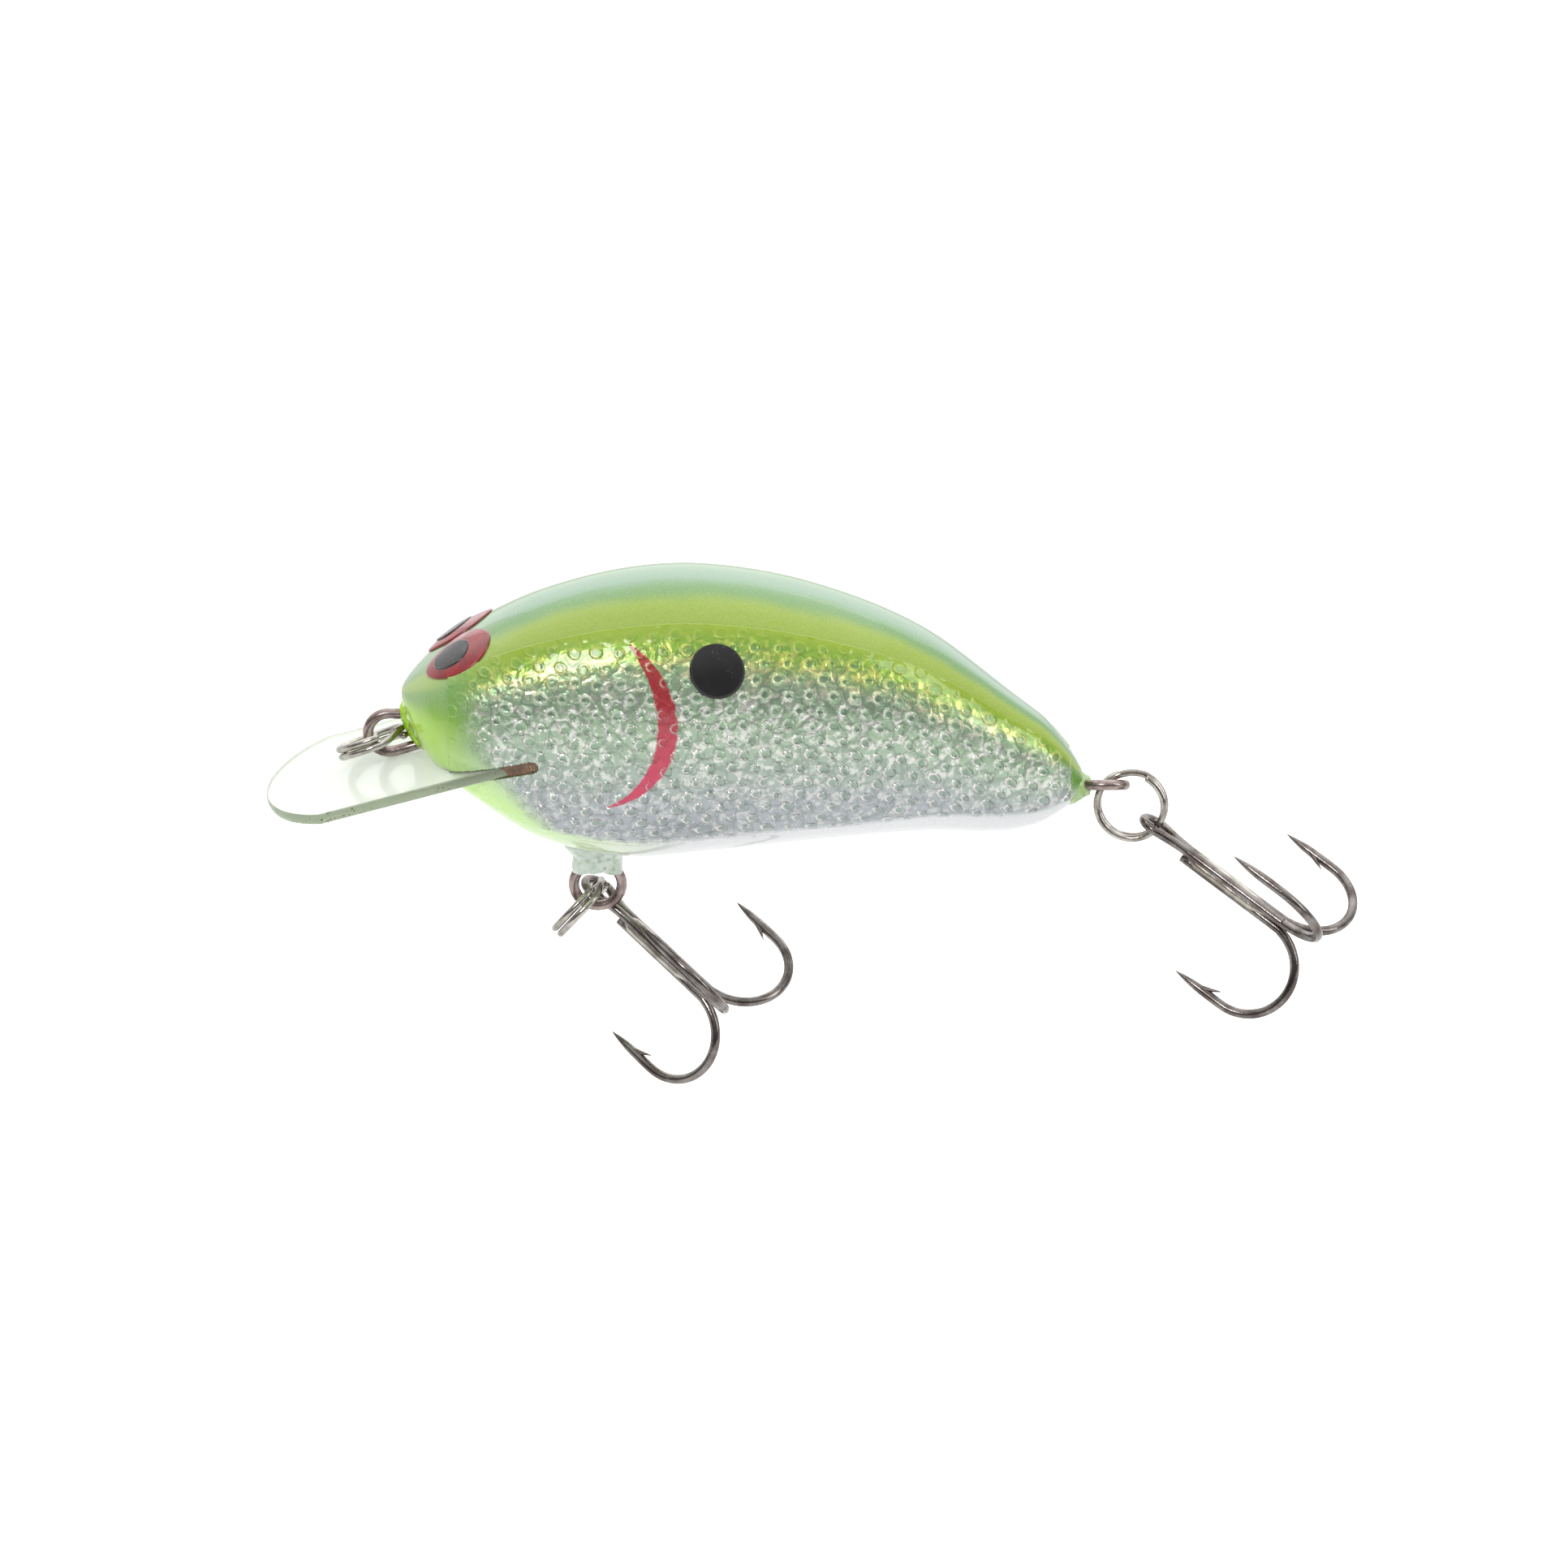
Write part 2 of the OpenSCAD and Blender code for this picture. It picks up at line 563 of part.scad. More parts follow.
module double_hook(link, g, s) {
    local = concat(backwards(double_half(-1)), [[0, -pack_r / 2, hook_r]], double_half(1));
    tube([for (p = local) hook_point(link, g, s, p)], concat(backwards(half_radii), [hook_r], half_radii), g);
    for (side = [-1, 1]) barb(link, g, s, [side * wire_pack / 2, -pack_r / 2], side * 120);
}
module single_hook(link, g, s) {
    place = [0, pack_r];
    top = [[0, pack_r, single_start], [0, pack_r, (single_start + bend_level) / 2]];
    local = concat(top, hook_bend(place, 0));
    tube([for (p = local) hook_point(link, g, s, p)], concat([hook_r, hook_r], hook_taper), cross(g, s));
    barb(link, g, s, place, 0);
}
braze_end = 1;        // from the solder's lower end to the bends
braze_out = 0.3;      // how far it reaches past the middles of the wires
// Solder drawn into the grooves between the three shank wires.
module braze(link, g, s) {
    tilt = acos(s[2]);
    turn = atan2(s[1], s[0]);
    local_x = [cos(tilt) * cos(turn), cos(tilt) * sin(turn), -sin(tilt)];
    local_y = [-sin(turn), cos(turn), 0];
    translate(hook_point(link, g, s, [0, 0, braze_start])) rotate([0, tilt, turn])
        rotate([0, 0, atan2(g * local_y, g * local_x)])
            linear_extrude(bend_level - braze_end - braze_start) difference() {
                circle(r = pack_r + braze_out);
                for (k = [0 : 2]) rotate(120 * k) translate([pack_r, 0]) circle(r = hook_r + tiny);
            }
}

belly_third_true = across(belly_third, belly_shank);
tail_third_true = across(tail_third, tail_shank);

module foil_left() foil();
module foil_right() right_side() foil();
module eye_left() eye();
module eye_right() right_side() eye();
module pupil_left() pupil();
module pupil_right() right_side() pupil();
module spot_left() spot();
module spot_right() right_side() spot();
module nose_split_ring() color("gray") split_ring(nose_ring_middle, nose_ring_axis);
module belly_split_ring() color("gray") split_ring(belly_ring_middle, belly_ring_axis);
module tail_split_ring() color("gray") split_ring(tail_ring_middle, tail_ring_axis);
module belly_double_hook() color("dimgray") double_hook(belly_link, belly_third_true, belly_shank);
module belly_single_hook() color("dimgray") single_hook(belly_link, belly_third_true, belly_shank);
module belly_braze() color("silver") braze(belly_link, belly_third_true, belly_shank);
module tail_double_hook() color("dimgray") double_hook(tail_link, tail_third_true, tail_shank);
module tail_single_hook() color("dimgray") single_hook(tail_link, tail_third_true, tail_shank);
module tail_braze() color("silver") braze(tail_link, tail_third_true, tail_shank);

body_core();
foil_left();
foil_right();
eye_left();
eye_right();
pupil_left();
pupil_right();
spot_left();
spot_right();
diving_lip();
lip_bond();
line_tie_eye();
line_tie_bond();
belly_hanger();
belly_collar();
tail_eye();
tail_collar();
ballast_weight();
ballast_plug();
nose_split_ring();
belly_split_ring();
belly_double_hook();
belly_single_hook();
belly_braze();
tail_split_ring();
tail_double_hook();
tail_single_hook();
tail_braze();
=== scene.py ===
"""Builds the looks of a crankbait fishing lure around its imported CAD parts.

The pieces are made from the same sizes as the CAD parts, in millimetres, and stored in metres in the
frame's own axes: +X from nose to tail, +Z towards the back, and the lure's left side at -Y.
"""

import logging
import math
from dataclasses import dataclass, field
from enum import Enum
from typing import Any, Callable

import bpy
import numpy as np
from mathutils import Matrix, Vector

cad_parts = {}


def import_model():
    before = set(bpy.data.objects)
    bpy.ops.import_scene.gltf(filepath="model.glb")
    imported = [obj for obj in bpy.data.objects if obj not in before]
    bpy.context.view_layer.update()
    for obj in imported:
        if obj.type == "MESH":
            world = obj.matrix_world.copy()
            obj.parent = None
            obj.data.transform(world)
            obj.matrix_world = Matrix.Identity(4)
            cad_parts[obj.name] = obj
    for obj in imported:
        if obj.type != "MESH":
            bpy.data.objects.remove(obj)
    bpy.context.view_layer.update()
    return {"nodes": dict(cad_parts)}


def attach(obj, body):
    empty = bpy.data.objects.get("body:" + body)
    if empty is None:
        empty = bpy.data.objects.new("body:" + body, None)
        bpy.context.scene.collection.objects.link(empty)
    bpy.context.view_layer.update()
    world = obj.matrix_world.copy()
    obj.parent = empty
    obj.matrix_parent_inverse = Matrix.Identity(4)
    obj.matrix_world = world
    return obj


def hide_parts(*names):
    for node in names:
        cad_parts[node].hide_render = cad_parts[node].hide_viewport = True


LOG = logging.getLogger("lure")
MM = 0.001
Array = np.ndarray


# --------------------------------------------------------------------------------------------------
# Vectors and meshes


def unit(v: Any) -> Array:
    """Scales vectors to length one.

    Args:
        v: One vector, or an array of them along its last axis.
    Returns:
        The array of unit vectors.
    """
    v = np.asarray(v, float)
    return v / np.linalg.norm(v, axis=-1, keepdims=True)


def across(v: Any, along: Array) -> Array:
    """Takes from v its part along a direction, and scales what is left to length one.

    Args:
        v: The vector.
        along: A unit vector.
    Returns:
        A unit vector square to along.
    """
    v = np.asarray(v, float)
    return unit(v - (v @ along) * along)


def ease(low: float, high: float, x: Array) -> Array:
    """Rises smoothly from 0 at low to 1 at high, as 3s^2 - 2s^3.

    Args:
        low: Where the rise starts.
        high: Where it ends. It may be under low, and then the curve falls.
        x: The values.
    Returns:
        The eased values, from 0 to 1.
    """
    s = np.clip((x - low) / (high - low), 0, 1)
    return s * s * (3 - 2 * s)


@dataclass
class Shape:
    """A mesh in the making: points in millimetres, faces, and named values for each point."""

    points: Array
    faces: list
    values: dict[str, Array] = field(default_factory=dict)

    def to_object(self, name: str, material: bpy.types.Material) -> bpy.types.Object:
        """Makes a smooth-shaded object in metres.

        Args:
            name: The object's name.
            material: Its only material.
        Returns:
            The new object, at the origin.
        """
        mesh = bpy.data.meshes.new(name)
        mesh.from_pydata((self.points * MM).tolist(), [], self.faces)
        for key, value in self.values.items():
            kind = "FLOAT" if value.ndim == 1 else "FLOAT_VECTOR"
            layer = mesh.attributes.new(key, kind, "POINT")
            layer.data.foreach_set("value" if value.ndim == 1 else "vector", value.astype(np.float32).ravel())
        mesh.polygons.foreach_set("use_smooth", [True] * len(mesh.polygons))
        mesh.materials.append(material)
        mesh.update()
        thing = bpy.data.objects.new(name, mesh)
        bpy.context.scene.collection.objects.link(thing)
        return thing


def skin(first: Any, rings: Array, last: Any) -> Shape:
    """Closes a stack of rings with a pole at each end.

    Args:
        first: The pole before the first ring.
        rings: Points of shape (rings, sides, 3), turning right-handed about the way from first to last.
        last: The pole after the last ring.
    Returns:
        The closed shape, faces outward.
    """
    count, sides = rings.shape[:2]
    points = np.concatenate([np.reshape(first, (1, 3)), rings.reshape(-1, 3), np.reshape(last, (1, 3))])
    index = 1 + np.arange(count * sides).reshape(count, sides)
    turned = np.roll(index, -1, axis=1)
    walls = np.stack([index[:-1], turned[:-1], turned[1:], index[1:]], axis=-1).reshape(-1, 4)
    start = np.stack([np.zeros(sides, int), turned[0], index[0]], axis=-1)
    end = np.stack([np.full(sides, count * sides + 1), index[-1], turned[-1]], axis=-1)
    return Shape(points, walls.tolist() + start.tolist() + end.tolist())


def rim_order(n: int, m: int) -> Array:
    """Lists the border of an n by m grid, once round."""
    index = np.arange(n * m).reshape(n, m)
    return np.concatenate([index[0, :-1], index[:-1, -1], index[-1, :0:-1], index[:0:-1, 0]])


def veneer(top: Array, under: Array) -> Shape:
    """Makes a thin layer: a grid of points, with a skirt round its border down to what it lies on.

    Args:
        top: Points of shape (n, m, 3) on the outer side.
        under: The points under them. Only those of the border are used.
    Returns:
        The layer.
    """
    n, m = top.shape[:2]
    rim = rim_order(n, m)
    points = np.concatenate([top.reshape(-1, 3), under.reshape(-1, 3)[rim]])
    index = np.arange(n * m).reshape(n, m)
    quads = np.stack([index[:-1, :-1], index[:-1, 1:], index[1:, 1:], index[1:, :-1]], axis=-1).reshape(-1, 4)
    low = n * m + np.arange(len(rim))
    walls = np.stack([np.roll(rim, -1), rim, low, np.roll(low, -1)], axis=-1)
    return Shape(points, quads.tolist() + walls.tolist())


def smooth_path(points: Array, steps: int = 6) -> Array:
    """Passes a Catmull-Rom curve through points.

    Args:
        points: The points to pass through, of shape (n, d).
        steps: How many points replace each step between them.
    Returns:
        The finer path.
    """
    ends = np.concatenate([2 * points[:1] - points[1:2], points, 2 * points[-1:] - points[-2:-1]])
    a, b, c, d = ends[:-3, None], ends[1:-2, None], ends[2:-1, None], ends[3:, None]
    s = (np.arange(steps) / steps)[None, :, None]
    curve = 0.5 * (2 * b + (c - a) * s + (2 * a - 5 * b + 4 * c - d) * s**2 + (3 * b - a - 3 * c + d) * s**3)
    return np.concatenate([curve.reshape(-1, points.shape[1]), points[-1:]])


def tube(path: Array, radii: Array, side: Array, sides: int = 24) -> Shape:
    """Sweeps a circle along a path, and carries its first direction on so that it never twists.

    Args:
        path: The middle line.
        radii: The radius at each of its points.
        side: A direction that isn't along the path's start.
        sides: Points round the circle.
    Returns:
        The closed tube.
    """
    along = unit(np.gradient(path, axis=0))
    normal = across(side, along[0])
    carried = []
    for direction in along:
        normal = across(normal, direction)
        carried.append(normal)
    normals = np.array(carried)
    others = np.cross(along, normals)
    turn = np.linspace(0, 2 * np.pi, sides, endpoint=False)[None, :, None]
    round_way = np.cos(turn) * normals[:, None] + np.sin(turn) * others[:, None]
    rings = path[:, None] + radii[:, None, None] * round_way
    return skin(path[0], rings, path[-1])


def merge(shapes: list[Shape]) -> Shape:
    """Puts several shapes into one, with their values.

    Args:
        shapes: The shapes, which all hold the same named values.
    Returns:
        The joined shape.
    """
    starts = np.cumsum([0] + [len(s.points) for s in shapes])
    faces = [[i + int(start) for i in face] for s, start in zip(shapes, starts) for face in s.faces]
    values = {key: np.concatenate([s.values[key] for s in shapes]) for key in shapes[0].values}
    return Shape(np.concatenate([s.points for s in shapes]), faces, values)


def lumps(points: Array, size: float, seed: int) -> Array:
    """Sums six plane waves in seeded directions, which makes soft uneven lumps.

    Args:
        points: The places, in millimetres.
        size: About how far apart the lumps are.
        seed: Which set of waves.
    Returns:
        A value for each place, about -1 to 1.
    """
    rng = np.random.default_rng(seed)
    ways = unit(rng.normal(size=(6, 3))) * (2 * np.pi / size) * rng.uniform(0.6, 1.5, (6, 1))
    phases = rng.uniform(0, 2 * np.pi, 6)
    return np.sin(points @ ways.T + phases).sum(axis=-1) / 3


# --------------------------------------------------------------------------------------------------
# Shader nodes


class Canvas:
    """A node tree, and short calls that add nodes to it."""

    def __init__(self, tree: bpy.types.NodeTree) -> None:
        """Keeps the tree that the nodes are added to."""
        self.tree = tree

    def add(self, kind: str, inputs: dict | None = None, **settings: Any) -> bpy.types.Node:
        """Adds a node.

        Args:
            kind: Its type, without the ShaderNode in front.
            inputs: Its sockets by name or number, each with a value or with the socket to link from.
            settings: Its own properties.
        Returns:
            The node.
        """
        made = self.tree.nodes.new("ShaderNode" + kind)
        for key, value in settings.items():
            setattr(made, key, value)
        for key, value in (inputs or {}).items():
            if isinstance(value, bpy.types.NodeSocket):
                self.tree.links.new(value, made.inputs[key])
            else:
                made.inputs[key].default_value = value
        return made

    def math(self, operation: str, a: Any, b: Any = 0.0, clamp: bool = False) -> bpy.types.NodeSocket:
        """Adds a Math node and returns its output."""
        return self.add("Math", {0: a, 1: b}, operation=operation, use_clamp=clamp).outputs[0]

    def ramp(self, value: Any, low: float, high: float, to_low: float = 0.0, to_high: float = 1.0) -> Any:
        """Maps a value smoothly from one range to another and returns the output."""
        inputs = {"Value": value, "From Min": low, "From Max": high, "To Min": to_low, "To Max": to_high}
        return self.add("MapRange", inputs, interpolation_type="SMOOTHSTEP").outputs[0]

    def mix(self, share: Any, a: Any, b: Any, blend: str = "MIX") -> bpy.types.NodeSocket:
        """Mixes two colours by a share and returns the output."""
        inputs = {"Factor": share, 6: a, 7: b}
        return self.add("Mix", inputs, data_type="RGBA", blend_type=blend).outputs[2]

    def noise(self, place: Any, scale: float, detail: float = 3.0, rough: float = 0.5) -> Any:
        """Adds a noise texture and returns its value."""
        inputs = {"Vector": place, "Scale": scale, "Detail": detail, "Roughness": rough}
        return self.add("TexNoise", inputs).outputs["Fac"]

    def bump(self, height: Any, depth: float, strength: float = 1.0) -> bpy.types.NodeSocket:
        """Turns a height into a normal and returns it. Depth is in metres."""
        return self.add("Bump", {"Height": height, "Distance": depth, "Strength": strength}).outputs[0]

    def place(self) -> bpy.types.NodeSocket:
        """Returns the object coordinates, in metres."""
        return self.add("TexCoord").outputs["Object"]

    def value(self, name: str) -> bpy.types.Node:
        """Returns the node of a mesh's own named values."""
        return self.add("Attribute", attribute_name=name)


def colour(red: float, green: float, blue: float) -> tuple[float, float, float, float]:
    """Makes an opaque linear colour from display values of 0 to 255."""
    shares = np.array([red, green, blue]) / 255
    linear = np.where(shares <= 0.04045, shares / 12.92, ((shares + 0.055) / 1.055) ** 2.4)
    return (*[float(v) for v in linear], 1.0)


class Effects:
    """Node groups that several materials share. They give out only colours, masks and heights."""

    _made: dict[str, bpy.types.NodeTree] = {}

    @classmethod
    def _group(cls, name: str, inputs: dict, outputs: dict, fill: Callable) -> bpy.types.NodeTree:
        """Makes a node group once.

        Args:
            name: The group's name.
            inputs: Defaults by socket name: a number, a colour, or None for a place.
            outputs: Kinds by socket name.
            fill: Lays out the nodes and returns the output sockets by name.
        Returns:
            The group.
        """
        if name not in cls._made:
            tree = bpy.data.node_groups.new(name, "ShaderNodeTree")
            for key, value in inputs.items():
                kind = "NodeSocketVector" if value is None else "NodeSocketFloat"
                if isinstance(value, tuple):
                    kind = "NodeSocketColor"
                made = tree.interface.new_socket(key, in_out="INPUT", socket_type=kind)
                if value is not None:
                    made.default_value = value
            for key, kind in outputs.items():
                tree.interface.new_socket(key, in_out="OUTPUT", socket_type="NodeSocket" + kind)
            start = tree.nodes.new("NodeGroupInput")
            end = tree.nodes.new("NodeGroupOutput")
            for key, socket in fill(Canvas(tree), start.outputs).items():
                tree.links.new(socket, end.inputs[key])
            cls._made[name] = tree
        return cls._made[name]

    @classmethod
    def use(cls, canvas: Canvas, group: bpy.types.NodeTree, inputs: dict) -> Any:
        """Adds a group to a material and returns its outputs."""
        made = canvas.tree.nodes.new("ShaderNodeGroup")
        made.node_tree = group
        for key, value in inputs.items():
            if isinstance(value, bpy.types.NodeSocket):
                canvas.tree.links.new(value, made.inputs[key])
            else:
                made.inputs[key].default_value = value
        return made.outputs

    @classmethod
    def crinkle(cls) -> bpy.types.NodeTree:
        """Creases of thin foil: the edges of bent cells, with finer noise on them."""

        def fill(c: Canvas, given: Any) -> dict:
            """Lays out the group's nodes."""
            bent = c.add("TexNoise", {"Vector": given["Place"], "Scale": 900.0, "Detail": 2.0})
            shift = {0: bent.outputs["Color"], "Scale": 0.0009}
            moved = c.add("VectorMath", shift, operation="SCALE").outputs[0]
            place = c.add("VectorMath", {0: given["Place"], 1: moved}, operation="ADD").outputs[0]
            inputs = {"Vector": place, "Scale": given["Scale"]}
            cells = c.add("TexVoronoi", inputs, feature="DISTANCE_TO_EDGE")
            crease = c.ramp(cells.outputs["Distance"], 0.0, 0.22)
            fine = c.add("TexNoise", {"Vector": place, "Scale": given["Fine"], "Detail": 2.0}).outputs["Fac"]
            return {"Height": c.math("ADD", crease, c.math("MULTIPLY", fine, 0.8)), "Crease": crease}

        inputs = {"Place": None, "Scale": 1.0, "Fine": 1.0}
        return cls._group("crinkle", inputs, {"Height": "Float", "Crease": "Float"}, fill)

    @classmethod
    def specks(cls) -> bpy.types.NodeTree:
        """Small scattered specks: the middles of cells, kept only where a noise is high."""

        def fill(c: Canvas, given: Any) -> dict:
            """Lays out the group's nodes."""
            inputs = {"Vector": given["Place"], "Scale": given["Scale"], "Randomness": 1.0}
            cells = c.add("TexVoronoi", inputs)
            spot = c.ramp(cells.outputs["Distance"], 0.34, 0.2)
            coarse = c.math("MULTIPLY", given["Scale"], 0.23)
            few = c.add("TexNoise", {"Vector": given["Place"], "Scale": coarse})
            kept = c.ramp(few.outputs["Fac"], 0.48, 0.6)
            return {"Mask": c.math("MULTIPLY", spot, kept, clamp=True)}

        return cls._group("specks", {"Place": None, "Scale": 1.0}, {"Mask": "Float"}, fill)

    @classmethod
    def tarnish(cls) -> bpy.types.NodeTree:
        """Uneven metal colour and roughness in soft patches, with a fine grain in its height."""

        def fill(c: Canvas, given: Any) -> dict:
            """Lays out the group's nodes."""
            patch = c.noise(given["Place"], 420.0, 4.0, 0.6)
            tone = c.mix(c.ramp(patch, 0.35, 0.68), given["Bright"], given["Dull"])
            grain = c.noise(given["Place"], 5200.0, 2.0)
            uneven = c.math("MULTIPLY", c.math("SUBTRACT", patch, 0.5), 0.22)
            rough = c.math("ADD", given["Roughness"], uneven)
            return {"Color": tone, "Roughness": c.math("ADD", rough, 0.0, clamp=True), "Height": grain}

        greys = {"Bright": (0.5, 0.5, 0.5, 1.0), "Dull": (0.2, 0.2, 0.2, 1.0)}
        inputs = {"Place": None, **greys, "Roughness": 0.3}
        outputs = {"Color": "Color", "Roughness": "Float", "Height": "Float"}
        return cls._group("tarnish", inputs, outputs, fill)


# --------------------------------------------------------------------------------------------------
# Finishes


@dataclass(frozen=True)
class Finish:
    """What a surface is made of. Each kind of finish says how its material's nodes are laid out."""

    name: str

    def material(self) -> bpy.types.Material:
        """Makes the material, or returns the one made before."""
        name = f"{self.name}_finish"
        found = bpy.data.materials.get(name)
        if found:
            return found
        made = bpy.data.materials.new(name)
        made.use_nodes = True
        made.node_tree.nodes.clear()
        canvas = Canvas(made.node_tree)
        shader = canvas.add("BsdfPrincipled")
        output = canvas.add("OutputMaterial")
        made.node_tree.links.new(shader.outputs[0], output.inputs["Surface"])
        self.dress(canvas, shader)
        return made

    def dress(self, canvas: Canvas, shader: bpy.types.Node) -> None:
        """Sets and links the shader's sockets."""
        raise NotImplementedError

    @staticmethod
    def feed(canvas: Canvas, shader: bpy.types.Node, **sockets: Any) -> None:
        """Links or sets sockets of the shader, named with _ for each space."""
        for key, value in sockets.items():
            socket = shader.inputs[key.replace("_", " ")]
            if isinstance(value, bpy.types.NodeSocket):
                canvas.tree.links.new(value, socket)
            else:
                socket.default_value = value


@dataclass(frozen=True)
class BodyPaint(Finish):
    """Airbrushed bands under a thick clear coat, placed by the surface's share of the length and angle."""

    back: tuple = colour(116, 158, 124)
    crest: tuple = colour(92, 148, 62)
    band: tuple = colour(146, 176, 0)
    flank: tuple = colour(88, 150, 12)
    belly: tuple = colour(226, 228, 230)
    chin: tuple = colour(172, 224, 0)
    throat: tuple = colour(196, 244, 132)

    @staticmethod
    def bands(canvas: Canvas, finish: "BodyPaint") -> tuple[Any, Any, Any]:
        """Lays out the paint's colour.

        Returns:
            The colour, how opaque the paint is where foil lies under it, and the place values' node.
        """
        c = canvas
        place = c.value("place")
        parts = c.add("SeparateXYZ", {0: place.outputs["Vector"]}).outputs
        share, height = parts[0], parts[1]
        wobble = c.math("MULTIPLY", c.math("SUBTRACT", c.noise(c.place(), 160.0, 3.0), 0.5), 0.1)
        height = c.math("ADD", height, wobble)
        upper = c.mix(c.ramp(height, 0.44, 0.60), finish.flank, finish.band)
        upper = c.mix(c.ramp(height, 0.72, 0.84), upper, finish.crest)
        upper = c.mix(c.ramp(height, 0.84, 0.97), upper, finish.back)
        head = c.ramp(share, 0.20, 0.05)
        upper = c.mix(c.math("MULTIPLY", head, 0.35), upper, colour(176, 205, 150))
        tone = c.mix(c.ramp(height, -0.42, 0.12), finish.belly, upper)
        front = c.ramp(share, 0.44, 0.10)
        low = c.ramp(height, 0.10, -0.45)
        tone = c.mix(c.math("MULTIPLY", front, low), tone, finish.throat)
        chin = c.math("MULTIPLY", c.ramp(share, 0.13, 0.015), c.ramp(height, 0.42, 0.0))
        tone = c.mix(chin, tone, finish.chin)
        opaque = c.ramp(height, 0.40, 0.60)
        return tone, opaque, parts

    def dress(self, canvas: Canvas, shader: bpy.types.Node) -> None:
        """Lays the bands, a fine flake and soft waves in the clear coat."""
        tone, _, _ = self.bands(canvas, self)
        flake = canvas.noise(canvas.place(), 9000.0, 1.0)
        tone = canvas.mix(canvas.ramp(flake, 0.35, 0.7, 0.0, 0.10), tone, colour(255, 255, 235))
        soft = canvas.noise(canvas.place(), 90.0, 2.0)
        self.feed(
            canvas, shader, Base_Color=tone, Roughness=canvas.ramp(flake, 0.3, 0.7, 0.30, 0.46), Metallic=0.0,
            Coat_Weight=1.0, Coat_Roughness=0.03, Coat_IOR=1.55, Subsurface_Weight=0.0,
            Normal=canvas.bump(soft, 0.00006, 0.5),
        )


